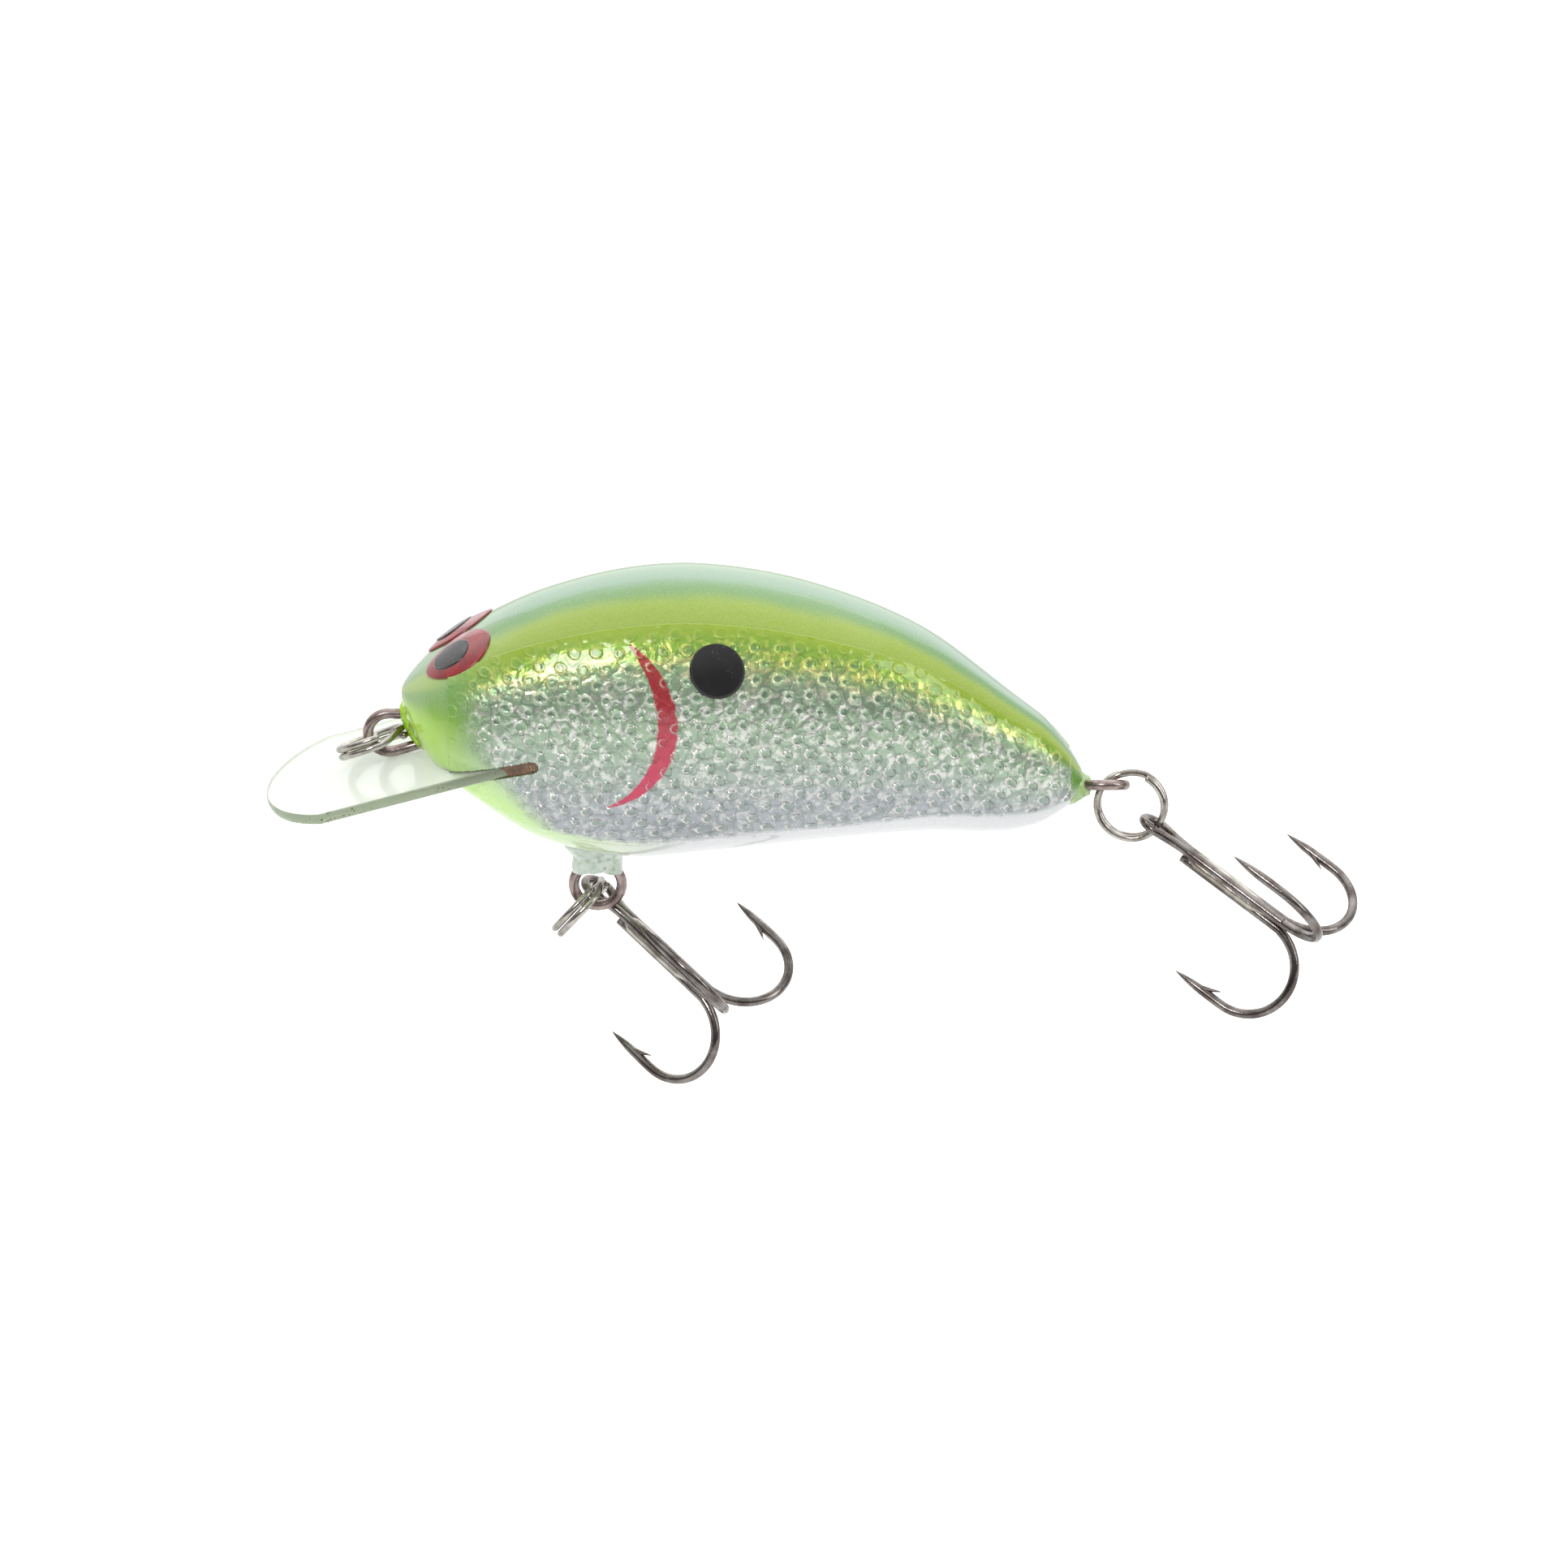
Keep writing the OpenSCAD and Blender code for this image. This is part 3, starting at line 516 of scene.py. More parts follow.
@dataclass(frozen=True)
class ScaleFoil(Finish):
    """Embossed silver foil, tinted by the transparent edge of the paint, under the same clear coat."""

    paint: BodyPaint
    silver: tuple = colour(164, 170, 174)
    green: tuple = colour(166, 192, 160)
    gold: tuple = colour(150, 186, 60)
    # The dots' darker green: partly the paint's tint, partly painted shade for the darker reflection of their
    # flat tops.
    dot: tuple = colour(112, 146, 118)
    # Painted glints: bright silver and gold tones laid between the dots and on the dot rims.
    glint: tuple = colour(244, 242, 236)
    gold_glint: tuple = colour(244, 244, 128)
    gill: tuple = colour(172, 12, 40)
    gill_low: tuple = colour(206, 14, 78)

    def dress(self, canvas: Canvas, shader: bpy.types.Node) -> None:
        """Lays the metal, its pattern, painted glints and rim highlights, painted shade in the creases, the
        paint that fades in over it and the gill mark.
        """
        c = canvas
        tone, opaque, parts = BodyPaint.bands(c, self.paint)
        share, height = parts[0], parts[1]
        wobble = c.math("MULTIPLY", c.math("SUBTRACT", c.noise(c.place(), 260.0, 3.0), 0.5), 0.16)
        level = c.math("ADD", height, wobble)
        dots = c.value("dots").outputs["Fac"]
        rims = c.value("rims").outputs["Fac"]
        # glow is the painted highlight on the front side of each dot rim.
        glow = c.value("glow").outputs["Fac"]
        flat = c.mix(c.ramp(level, -0.30, 0.18), self.silver, self.green)
        flat = c.mix(c.ramp(level, 0.28, 0.50), flat, self.gold)
        # Dots tinted darker: partly paint tint, partly painted shade.
        flat = c.mix(c.math("MULTIPLY", dots, 0.38), flat, self.dot)
        between = c.math("SUBTRACT", 1.0, dots)
        # Painted glints: bright patches between the dots, stronger towards the top.
        patch = c.ramp(c.noise(c.place(), 1350.0, 3.0, 0.6), 0.47, 0.62)
        light = c.mix(c.ramp(level, 0.20, 0.48), self.glint, self.gold_glint)
        painted_glint_share = c.math("MULTIPLY", patch, c.ramp(height, -0.35, 0.22, 0.30, 0.80))
        metal = c.mix(c.math("MULTIPLY", between, painted_glint_share), flat, light)
        folds = Effects.use(c, Effects.crinkle(), {"Place": c.place(), "Scale": 620.0, "Fine": 2600.0})
        # Painted shade in the foil's creases, darkened towards grey.
        metal = c.mix(c.ramp(folds["Crease"], 0.4, 0.0, 0.0, 0.3), metal, colour(92, 104, 98))
        # Painted highlight on the front side of each dot rim.
        metal = c.mix(c.math("MULTIPLY", glow, 0.9, clamp=True), metal, light)
        cover = self.cover(c, share, height)
        opaque = c.math("MAXIMUM", opaque, cover)
        painted = c.mix(opaque, metal, tone)
        mark = c.value("gill").outputs["Fac"]
        rough_edge = c.math("SUBTRACT", c.noise(c.place(), 1700.0, 4.0, 0.65), 0.5)
        mark = c.ramp(c.math("ADD", mark, c.math("MULTIPLY", rough_edge, 1.3)), 0.22, 0.80)
        red = c.mix(c.ramp(height, 0.25, -0.15), self.gill, self.gill_low)
        # The gill's red thins where the painted rim highlight lies.
        painted = c.mix(c.math("MULTIPLY", mark, c.ramp(glow, 0.2, 1.0, 0.95, 0.45)), painted, red)
        bare = c.math("MULTIPLY", c.ramp(opaque, 0.0, 1.0, 0.78, 0.10), c.ramp(height, 0.0, 0.45, 1.0, 0.7))
        bare = c.math("MULTIPLY", bare, c.ramp(mark, 0.0, 1.0, 1.0, 0.35))
        raised = c.math("ADD", c.math("MULTIPLY", rims, 1.2), c.math("MULTIPLY", dots, 0.6))
        bumps = c.math("ADD", raised, c.math("MULTIPLY", folds["Height"], 0.30))
        fade = c.ramp(opaque, 0.25, 1.0, 1.0, 0.10)
        self.feed(
            c, shader, Base_Color=painted, Metallic=bare, Roughness=c.ramp(patch, 0.0, 1.0, 0.30, 0.22),
            Coat_Weight=1.0, Coat_Roughness=0.03, Coat_IOR=1.5,
            Normal=c.bump(c.math("MULTIPLY", bumps, fade), 0.00012, 1.0),
        )

    @staticmethod
    def cover(c: Canvas, share: Any, height: Any) -> Any:
        """Says where sprayed paint fades in over the foil, at the nose and further back under the throat."""
        grain = c.math("MULTIPLY", c.math("SUBTRACT", c.noise(c.place(), 2300.0, 4.0, 0.7), 0.5), 0.05)
        low = c.math("MAXIMUM", c.math("MULTIPLY", height, -1.0), 0.0)
        border = c.math("ADD", c.math("MULTIPLY", low, 0.22), 0.112)
        ahead = c.math("ADD", c.math("SUBTRACT", border, share), grain)
        front = c.ramp(ahead, -0.035, 0.035)
        tail = c.ramp(share, 0.62, 0.97, 0.0, 0.17)
        belly = c.ramp(c.math("SUBTRACT", c.math("ADD", height, grain), tail), -0.43, -0.49)
        return c.math("MAXIMUM", front, belly)


@dataclass(frozen=True)
class Enamel(Finish):
    """A glossy colour with a faint cloud in it."""

    tone: tuple
    cloud: tuple
    rough: float = 0.25
    coat: float = 1.0

    def dress(self, canvas: Canvas, shader: bpy.types.Node) -> None:
        """Clouds the colour and strews a little dust on it."""
        c = canvas
        patch = c.noise(c.place(), 700.0, 4.0, 0.6)
        dust = Effects.use(c, Effects.specks(), {"Place": c.place(), "Scale": 2600.0})["Mask"]
        tone = c.mix(c.ramp(patch, 0.3, 0.75), self.tone, self.cloud)
        tone = c.mix(c.math("MULTIPLY", dust, 0.07), tone, colour(200, 200, 196))
        self.feed(
            c, shader, Base_Color=tone, Roughness=c.ramp(patch, 0.3, 0.7, self.rough, self.rough + 0.12),
            Coat_Weight=self.coat, Coat_Roughness=0.03, Coat_IOR=1.5, Normal=c.bump(patch, 0.00003, 0.6),
        )


@dataclass(frozen=True)
class ClearSheet(Finish):
    """Slightly hazy clear plastic with painted darker shade on its sawn edge."""

    tone: tuple = colour(238, 243, 234)
    # Painted shade for the darker green-grey look of the clear sheet's edge.
    edge: tuple = colour(176, 190, 160)
    fleck: tuple = colour(92, 96, 74)

    def dress(self, canvas: Canvas, shader: bpy.types.Node) -> None:
        """Paints shade on the sawn edge and scuffs the faces."""
        c = canvas
        edge = c.value("edge").outputs["Fac"]
        scuffs = c.noise(c.place(), 1500.0, 5.0, 0.65)
        flecks = Effects.use(c, Effects.specks(), {"Place": c.place(), "Scale": 2300.0})["Mask"]
        # Painted shade on the edge.
        tone = c.mix(edge, self.tone, self.edge)
        tone = c.mix(c.math("MULTIPLY", flecks, c.math("MULTIPLY", edge, 0.7)), tone, self.fleck)
        self.feed(
            c, shader, Base_Color=tone, Metallic=0.0, Transmission_Weight=0.5, IOR=1.45,
            Roughness=c.ramp(scuffs, 0.45, 0.8, 0.10, 0.22),
            Normal=c.bump(c.noise(c.place(), 240.0, 2.0), 0.00005, 0.4),
        )


@dataclass(frozen=True)
class Glue(Finish):
    """Epoxy with bubbles and specks in it."""

    tone: tuple
    dark: tuple
    speck: tuple
    speck_scale: float = 3600.0
    rough: float = 0.35

    def dress(self, canvas: Canvas, shader: bpy.types.Node) -> None:
        """Mixes the two tones in patches, with specks over them."""
        c = canvas
        patch = c.noise(c.place(), 1300.0, 4.0, 0.6)
        specks = Effects.use(c, Effects.specks(), {"Place": c.place(), "Scale": self.speck_scale})["Mask"]
        tone = c.mix(c.ramp(patch, 0.38, 0.66), self.tone, self.dark)
        tone = c.mix(specks, tone, self.speck)
        height = c.math("SUBTRACT", patch, c.math("MULTIPLY", specks, 0.5))
        self.feed(
            c, shader, Base_Color=tone,
            Roughness=c.ramp(patch, 0.3, 0.7, self.rough - 0.1, self.rough + 0.15),
            Coat_Weight=0.6, Coat_Roughness=0.12, Normal=c.bump(height, 0.00012, 0.8),
        )


@dataclass(frozen=True)
class Metal(Finish):
    """Bare or plated wire."""

    bright: tuple
    dull: tuple
    rough: float

    def dress(self, canvas: Canvas, shader: bpy.types.Node) -> None:
        """Lays the tarnish on bare metal."""
        inputs = {"Place": canvas.place(), "Bright": self.bright, "Dull": self.dull, "Roughness": self.rough}
        worn = Effects.use(canvas, Effects.tarnish(), inputs)
        self.feed(
            canvas, shader, Base_Color=worn["Color"], Metallic=1.0, Roughness=worn["Roughness"],
            Normal=canvas.bump(worn["Height"], 0.00002, 0.5),
        )


@dataclass(frozen=True)
class Backdrop(Finish):
    """The pale floor. It shows white, and throws back less light than it shows."""

    tone: tuple = (0.8, 0.8, 0.8, 1.0)
    glow: float = 0.9
    thrown: float = 0.12

    def dress(self, canvas: Canvas, shader: bpy.types.Node) -> None:
        """Raises the glow where the floor is seen directly or through the lip."""
        path = canvas.add("LightPath").outputs
        seen = canvas.math("MAXIMUM", path["Is Camera Ray"], path["Is Transmission Ray"])
        self.feed(
            canvas, shader, Base_Color=self.tone, Roughness=0.8, Emission_Color=(1, 1, 1, 1),
            Emission_Strength=canvas.ramp(seen, 0.0, 1.0, self.thrown, self.glow),
        )


PAINT = BodyPaint("body_paint")
FOIL = ScaleFoil("scale_foil", PAINT)
EYE_RED = Enamel("eye_red", colour(158, 6, 18), colour(122, 4, 14), 0.2)
PUPIL = Enamel("pupil_black", colour(24, 24, 25), colour(12, 12, 12))
SPOT = Enamel("spot_black", colour(12, 12, 12), colour(5, 5, 5), 0.35, 0.3)
LIP = ClearSheet("clear_lip")
BROWN_GLUE = Glue("brown_glue", colour(120, 82, 44), colour(86, 56, 28), colour(196, 180, 150))
BELLY_EPOXY = Glue(
    "belly_epoxy", colour(220, 230, 220), colour(190, 208, 190), colour(176, 196, 170), 1500.0, 0.25
)
TAIL_EPOXY = Glue(
    "tail_epoxy", colour(158, 190, 104), colour(176, 205, 168), colour(122, 108, 70), 1900.0, 0.3
)
NOSE_EPOXY = Glue(
    "nose_epoxy", colour(182, 232, 36), colour(160, 214, 30), colour(150, 160, 70), 1600.0, 0.22
)
WIRE = Metal("eye_wire", colour(176, 160, 156), colour(112, 98, 94), 0.26)
RING = Metal("ring_nickel", colour(196, 192, 184), colour(138, 130, 122), 0.12)
HOOK = Metal("hook_bronze", colour(148, 142, 138), colour(96, 88, 84), 0.15)
BRAZE = Metal("braze_silver", colour(206, 202, 192), colour(150, 142, 130), 0.3)
LEAD = Metal("lead", colour(110, 112, 118), colour(70, 72, 78), 0.6)
FILLER = Glue("filler", colour(226, 222, 204), colour(206, 200, 178), colour(180, 172, 150), 2400.0, 0.6)


# --------------------------------------------------------------------------------------------------
# The body's form


@dataclass(frozen=True)
class BodyForm:
    """The lure's outer form, by share of length t and angle a round the section, from the left flank up."""

    length: float = 63.4
    back: float = 16.4
    belly: float = 11.7
    width: float = 20.0
    fullness: float = 2.2
    start: float = 1.2
    nose_round: float = 0.06
    tail_round: float = 0.07
    nose_level: float = 0.26
    tail_level: float = -0.33
    hanger_share: float = 0.283
    stations: tuple = (
        (0.00, 0.37, 0.00, 0.44),
        (0.05, 0.49, 0.19, 0.66),
        (0.10, 0.63, 0.45, 0.79),
        (0.20, 0.83, 0.83, 0.91),
        (0.33, 0.97, 1.00, 0.99),
        (0.45, 0.99, 0.95, 1.00),
        (0.60, 0.88, 0.86, 0.92),
        (0.76, 0.62, 0.80, 0.72),
        (0.90, 0.20, 0.81, 0.45),
        (1.00, -0.11, 0.60, 0.25),
    )

    @property
    def hanger_x(self) -> float:
        """X of the belly hanger's middle."""
        return self.start + self.hanger_share * self.length

    def station(self, t: Array, column: int) -> Array:
        """Passes a cubic Hermite curve through one column of the stations, with central slopes."""
        rows = np.array(self.stations)
        at, values = rows[:, 0], rows[:, column]
        low = np.maximum(np.arange(len(at)) - 1, 0)
        high = np.minimum(np.arange(len(at)) + 1, len(at) - 1)
        slopes = (values[high] - values[low]) / (at[high] - at[low])
        i = np.clip(np.searchsorted(at, t, side="right") - 1, 0, len(at) - 2)
        span = at[i + 1] - at[i]
        s = (t - at[i]) / span
        return (
            values[i] * (1 + 2 * s) * (1 - s) ** 2
            + slopes[i] * span * s * (1 - s) ** 2
            + values[i + 1] * s**2 * (3 - 2 * s)
            - slopes[i + 1] * span * s**2 * (1 - s)
        )

    def section(self, t: Array) -> tuple[Array, Array, Array]:
        """Gives the middle height, half height and half width at t.

        Both ends are rounded as quarter ellipses: the root of 1 - (1 - s)^2.

        Args:
            t: Share of the length.
        Returns:
            The three arrays, in millimetres.
        """

        def rounded(s: Array, share: float) -> Array:
            """Rises from 0 to 1 over a share of the length."""
            return np.sqrt(np.clip(1 - np.clip(1 - s / share, 0, 1) ** 2, 0, 1))

        cap = rounded(t, self.nose_round) * rounded(1 - t, self.tail_round)
        end = np.where(t < 0.5, self.nose_level, self.tail_level) * self.back
        level = np.where((t < self.nose_round) | (t > 1 - self.tail_round), end, 0)
        top = level + (self.back * self.station(t, 1) - level) * cap
        low = level + (-self.belly * self.station(t, 2) - level) * cap
        return (top + low) / 2, (top - low) / 2, self.width / 2 * self.station(t, 3) * cap

    def point(self, t: Any, degrees: Any, out: Any = 0.0) -> Array:
        """Gives points on the body, or a distance outside it along its normal."""
        t, angle = np.broadcast_arrays(np.asarray(t, float), np.radians(np.asarray(degrees, float)))
        middle, half, wide = self.section(t)
        power = 2 / self.fullness
        side, rise = np.cos(angle), np.sin(angle)
        y = -wide * np.sign(side) * np.abs(side) ** power
        z = middle + half * np.sign(rise) * np.abs(rise) ** power
        points = np.stack([self.start + t * self.length, y, z], axis=-1)
        out = np.broadcast_to(out, t.shape)
        return points if not np.any(out) else points + out[..., None] * self.normal(t, degrees)

    def normal(self, t: Any, degrees: Any) -> Array:
        """Gives the outward normal from differences along and round the form."""
        u = np.clip(np.asarray(t, float), 0.004, 0.996)
        degrees = np.asarray(degrees, float)
        along = self.point(u + 0.002, degrees) - self.point(u - 0.002, degrees)
        around = self.point(u, degrees + 1.5) - self.point(u, degrees - 1.5)
        return unit(np.cross(along, around))

    def place(self, points: Array) -> Array:
        """Gives each point's share of the length and its height angle over 90 degrees.

        Args:
            points: Points on the body, of shape (n, 3).
        Returns:
            The share, the angle and 0, alike on both flanks.
        """
        t = np.clip((points[:, 0] - self.start) / self.length, 0.0005, 0.9995)
        middle, half, wide = self.section(t)
        power = self.fullness / 2
        rise = (points[:, 2] - middle) / np.maximum(half, 1e-6)
        side = np.abs(points[:, 1]) / np.maximum(wide, 1e-6)
        angle = np.arctan2(np.sign(rise) * np.abs(rise) ** power, side**power)
        return np.stack([t, angle / (np.pi / 2), np.zeros_like(t)], axis=-1)


FORM = BodyForm()


class Side(Enum):
    """The two flanks. The value multiplies Y of a shape made for the left."""

    left = 1
    right = -1

    def turn(self, shape: Shape) -> Shape:
        """Mirrors a left-hand shape for this side, and keeps its faces outward."""
        if self is Side.left:
            return shape
        faces = [list(face)[::-1] for face in shape.faces]
        return Shape(shape.points * np.array([1, -1, 1]), faces, shape.values)


# --------------------------------------------------------------------------------------------------
# Sub-assemblies


@dataclass
class Assembly:
    """A group of pieces that are made together. Each piece is logged as it is made."""

    body: str

    def keep(self, shape: Shape, name: str, finish: Finish, slot: str, *nodes: str) -> bpy.types.Object:
        """Makes a piece, hangs it on this assembly's body and says which CAD nodes it stands for."""
        made = shape.to_object(name, finish.material())
        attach(made, self.body)
        if nodes:
            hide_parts(*nodes)
        LOG.info("%s: %d faces", name, len(made.data.polygons))
        return made

    def build(self) -> None:
        """Makes the pieces."""
        raise NotImplementedError


@dataclass
class LipPlan:
    """Where the lip's plate and its saw cut lie."""

    width: float = 17.0
    straight: float = 20.4
    bulge: float = 5.6
    thickness: float = 1.0
    angle: float = 16.0
    slot_depth: float = 12.3
    glue: float = 0.12
    eye_radius: float = 2.45
    clear: float = 0.13

    @property
    def end_x(self) -> float:
        """X of the slot's inner end."""
        return FORM.start + self.slot_depth

    @property
    def drop(self) -> float:
        """How far the plate's middle passes under the line-tie's middle."""
        return self.eye_radius + self.clear + self.thickness / 2 / math.cos(math.radians(self.angle))

    @property
    def end_z(self) -> float:
        """Height of the slot's inner end."""
        return self.end_x * math.tan(math.radians(self.angle)) - self.drop

    def placed(self, points: Array) -> Array:
        """Takes points from the plate's own frame, with +X towards the front edge, to the lure's."""
        turn = math.radians(self.angle)
        x, z = points[:, 0], points[:, 2]
        ahead = x * math.cos(turn) + z * math.sin(turn)
        height = z * math.cos(turn) - x * math.sin(turn)
        return np.stack([self.end_x - ahead, -points[:, 1], self.end_z + height], axis=-1)

    def outline(self, inset: float, steps: int = 90) -> Array:
        """Walks round the plate, straight sides and a circular front edge, a little inside its edge."""
        half = self.width / 2 - inset
        radius = ((self.width / 2) ** 2 + self.bulge**2) / (2 * self.bulge) - inset
        centre = self.straight + self.bulge - radius - inset
        reach = math.asin(min(1.0, half / radius))
        turn = np.linspace(-reach, reach, steps)
        front = np.stack([centre + radius * np.cos(turn), radius * np.sin(turn)], axis=-1)
        sides = np.linspace(0, 1, 40)[:, None]
        left = np.array([[inset, half]]) * sides + front[-1] * (1 - sides)
        right = front[0] * sides + np.array([[inset, -half]]) * (1 - sides)
        back = np.stack([np.full(20, inset), np.linspace(half, -half, 20)], axis=-1)
        return np.concatenate([front, left[1:], back[1:-1], right[:-1]])

    def cutter(self) -> Shape:
        """The saw cut: a slab with a round inner end, open to the front and across the head."""
        half = self.thickness / 2 + self.glue
        turn = np.linspace(-np.pi / 2, np.pi / 2, 25)
        # the cut runs from its round inner end forward past the nose
        profile = np.concatenate(
            [
                np.stack([-half * np.cos(turn), half * np.sin(turn)], axis=-1),
                [[2 * self.end_x, half], [2 * self.end_x, -half]],
            ]
        )
        reach = np.array([-FORM.width, FORM.width])
        rings = np.stack([
            np.stack([profile[:, 0], np.full(len(profile), y), profile[:, 1]], axis=-1) for y in reach
        ])
        middle = profile.mean(axis=0)
        shape = skin([middle[0], reach[0], middle[1]], rings, [middle[0], reach[1], middle[1]])
        return Shape(self.placed(shape.points), shape.faces)


LIP_PLAN = LipPlan()


def cut(shape: Shape, tool: Shape) -> Shape:
    """Takes one closed shape from another with Blender's exact Boolean.

    Args:
        shape: What is cut.
        tool: What is taken away.
    Returns:
        The cut shape, without named values.
    """
    blank = bpy.data.materials.get("cut") or bpy.data.materials.new("cut")
    kept = shape.to_object("cut_body", blank)
    taken = tool.to_object("cut_tool", blank)
    step = kept.modifiers.new("cut", "BOOLEAN")
    step.operation = "DIFFERENCE"
    step.solver = "EXACT"
    step.object = taken
    bpy.context.view_layer.update()
    result = kept.evaluated_get(bpy.context.evaluated_depsgraph_get()).to_mesh()
    points = np.zeros(len(result.vertices) * 3)
    result.vertices.foreach_get("co", points)
    faces = [list(p.vertices) for p in result.polygons]
    meshes = [kept.data, taken.data]
    for thing in (kept, taken):
        bpy.data.objects.remove(thing)
    for mesh in meshes:
        bpy.data.meshes.remove(mesh)
    bpy.data.materials.remove(blank)
    return Shape(points.reshape(-1, 3) / MM, faces)


@dataclass
class Body(Assembly):
    """The painted body, with the lip's slot in its head."""

    rings: int = 300
    sides: int = 176

    def build(self) -> None:
        """Cuts the lip's slot in the whole form and keeps the result."""
        share = (1 - np.cos(np.pi * np.arange(1, self.rings) / self.rings)) / 2
        degrees = np.linspace(0, -360, self.sides, endpoint=False)
        points = FORM.point(share[:, None], degrees[None, :])
        nose = FORM.point(0.0, 0.0)
        tail = FORM.point(1.0, 0.0)
        whole = cut(skin(nose, points, tail), LIP_PLAN.cutter())
        whole.values["place"] = FORM.place(whole.points)
        piece = self.keep(whole, "painted_body", PAINT, "painted_wood", "body_core")
        edges = piece.modifiers.new("edges", "EDGE_SPLIT")
        edges.split_angle = math.radians(40)


@dataclass
class Foil(Assembly):
    """One flank's embossed foil."""

    side: Side = Side.left
    thickness: float = 0.12
    lift: float = 0.02
    emboss: float = 0.03
    pitch: float = 2.05
    row: float = 1.42
    dot: float = 0.42
    reach: tuple = (0.0737, 0.9755)
    spread: tuple = (54.0, -45.0)
    root: float = -0.1
    gill_middle: tuple = (17.0, 5.2)
    gill_radius: float = 9.0
    gill_ends: tuple = (52.0, -68.0)

    def build(self) -> None:
        """Lays the pressed sheet on its flank, open where the lip's slot runs."""
        share = np.linspace(*self.reach, 520)[:, None]
        degrees = np.linspace(*self.spread, 184)[None, :]
        base = FORM.point(share, degrees, self.lift)
        steps = np.linalg.norm(np.diff(base, axis=1), axis=-1)
        run = np.concatenate([np.zeros((len(share), 1)), np.cumsum(steps, axis=1)], axis=1)
        level = np.abs(degrees[0]).argmin()
        v = run[:, level : level + 1] - run
        u = base[..., 0]
        pattern = self.pattern(u, v)
        raised = self.emboss * (0.6 * pattern["dots"] + pattern["rims"])
        top = FORM.point(share, degrees, self.lift + self.thickness + raised)
        shape = veneer(top, FORM.point(share, degrees, self.root))
        shape.faces = [face for face, hit in zip(shape.faces, self.in_slot(shape)) if not hit]
        pattern["gill"] = self.gill(base)
        rim = rim_order(*base.shape[:2])
        shape.values = {
            key: np.concatenate([grid.ravel(), grid.ravel()[rim]]) for key, grid in pattern.items()
        }
        flat = base.reshape(-1, 3)
        shape.values["place"] = FORM.place(np.concatenate([flat, flat[rim]]))
        name = f"scale_foil_{self.side.name}"
        self.keep(self.side.turn(shape), name, FOIL, "scale_foil", f"foil_{self.side.name}")

    def pattern(self, u: Array, v: Array) -> dict[str, Array]:
        """Gives the pressed pattern: round dots in rows that are staggered by half a pitch.

        Args:
            u: Distance along the body.
            v: Distance up its section.
        Returns:
            The dots' flat tops, their raised rims, and a painted highlight on the front side of each rim.
        """
        row = np.round(v / self.row)
        shift = (row % 2) * self.pitch / 2
        uneven = 0.12 * np.sin(row * 2.3) + 0.09 * np.sin(u * 1.7 + row)
        along_row = (u - shift + uneven) / self.pitch
        number = np.round(along_row)
        size = self.dot * (1 + 0.16 * np.sin(number * 3.7 + row * 5.1))
        near_u = (along_row - number) * self.pitch
        near_v = v - row * self.row + 0.08 * np.sin(number * 2.9 + row * 1.3)
        far = np.hypot(near_u, near_v * 1.05)
        rims = np.exp(-(((far - size) / 0.10) ** 2))
        # Painted highlight: how brightly each rim's front side is lit, varied from dot to dot.
        highlight_side = np.clip(0.35 - 0.9 * near_u / size + 0.35 * np.sin(number * 4.1 + row * 2.7), 0, 1)
        return {"dots": ease(size, size * 0.6, far), "rims": rims, "glow": rims * highlight_side}

    def in_slot(self, shape: Shape) -> Array:
        """Says which faces lie in the lip's saw cut."""
        first = np.array([face[0] for face in shape.faces])
        third = np.array([face[2] for face in shape.faces])
        middle = (shape.points[first] + shape.points[third]) / 2
        plan = LIP_PLAN
        turn = math.radians(plan.angle)
        ahead = plan.end_x - middle[:, 0]
        rise = middle[:, 2] - plan.end_z
        along = ahead * math.cos(turn) - rise * math.sin(turn)
        off = ahead * math.sin(turn) + rise * math.cos(turn)
        half = plan.thickness / 2 + plan.glue
        return np.where(along > 0, np.abs(off), np.hypot(along, off)) < half

    def gill(self, points: Array) -> Array:
        """Gives how far inside the painted gill mark each point is: a crescent on an arc, widest low down."""
        x = points[..., 0] - self.gill_middle[0]
        z = points[..., 2] - self.gill_middle[1]
        high, low = self.gill_ends
        angle = np.degrees(np.arctan2(z, x))
        share = np.clip((high - angle) / (high - low), 0, 1)
        half = 0.86 * np.sin(np.pi * share**0.85) + 0.06
        off = np.abs(np.hypot(x, z) - self.gill_radius)
        inside = ease(1.35, 0.65, off / np.maximum(half, 0.05))
        return inside * ((angle < high) & (angle > low))


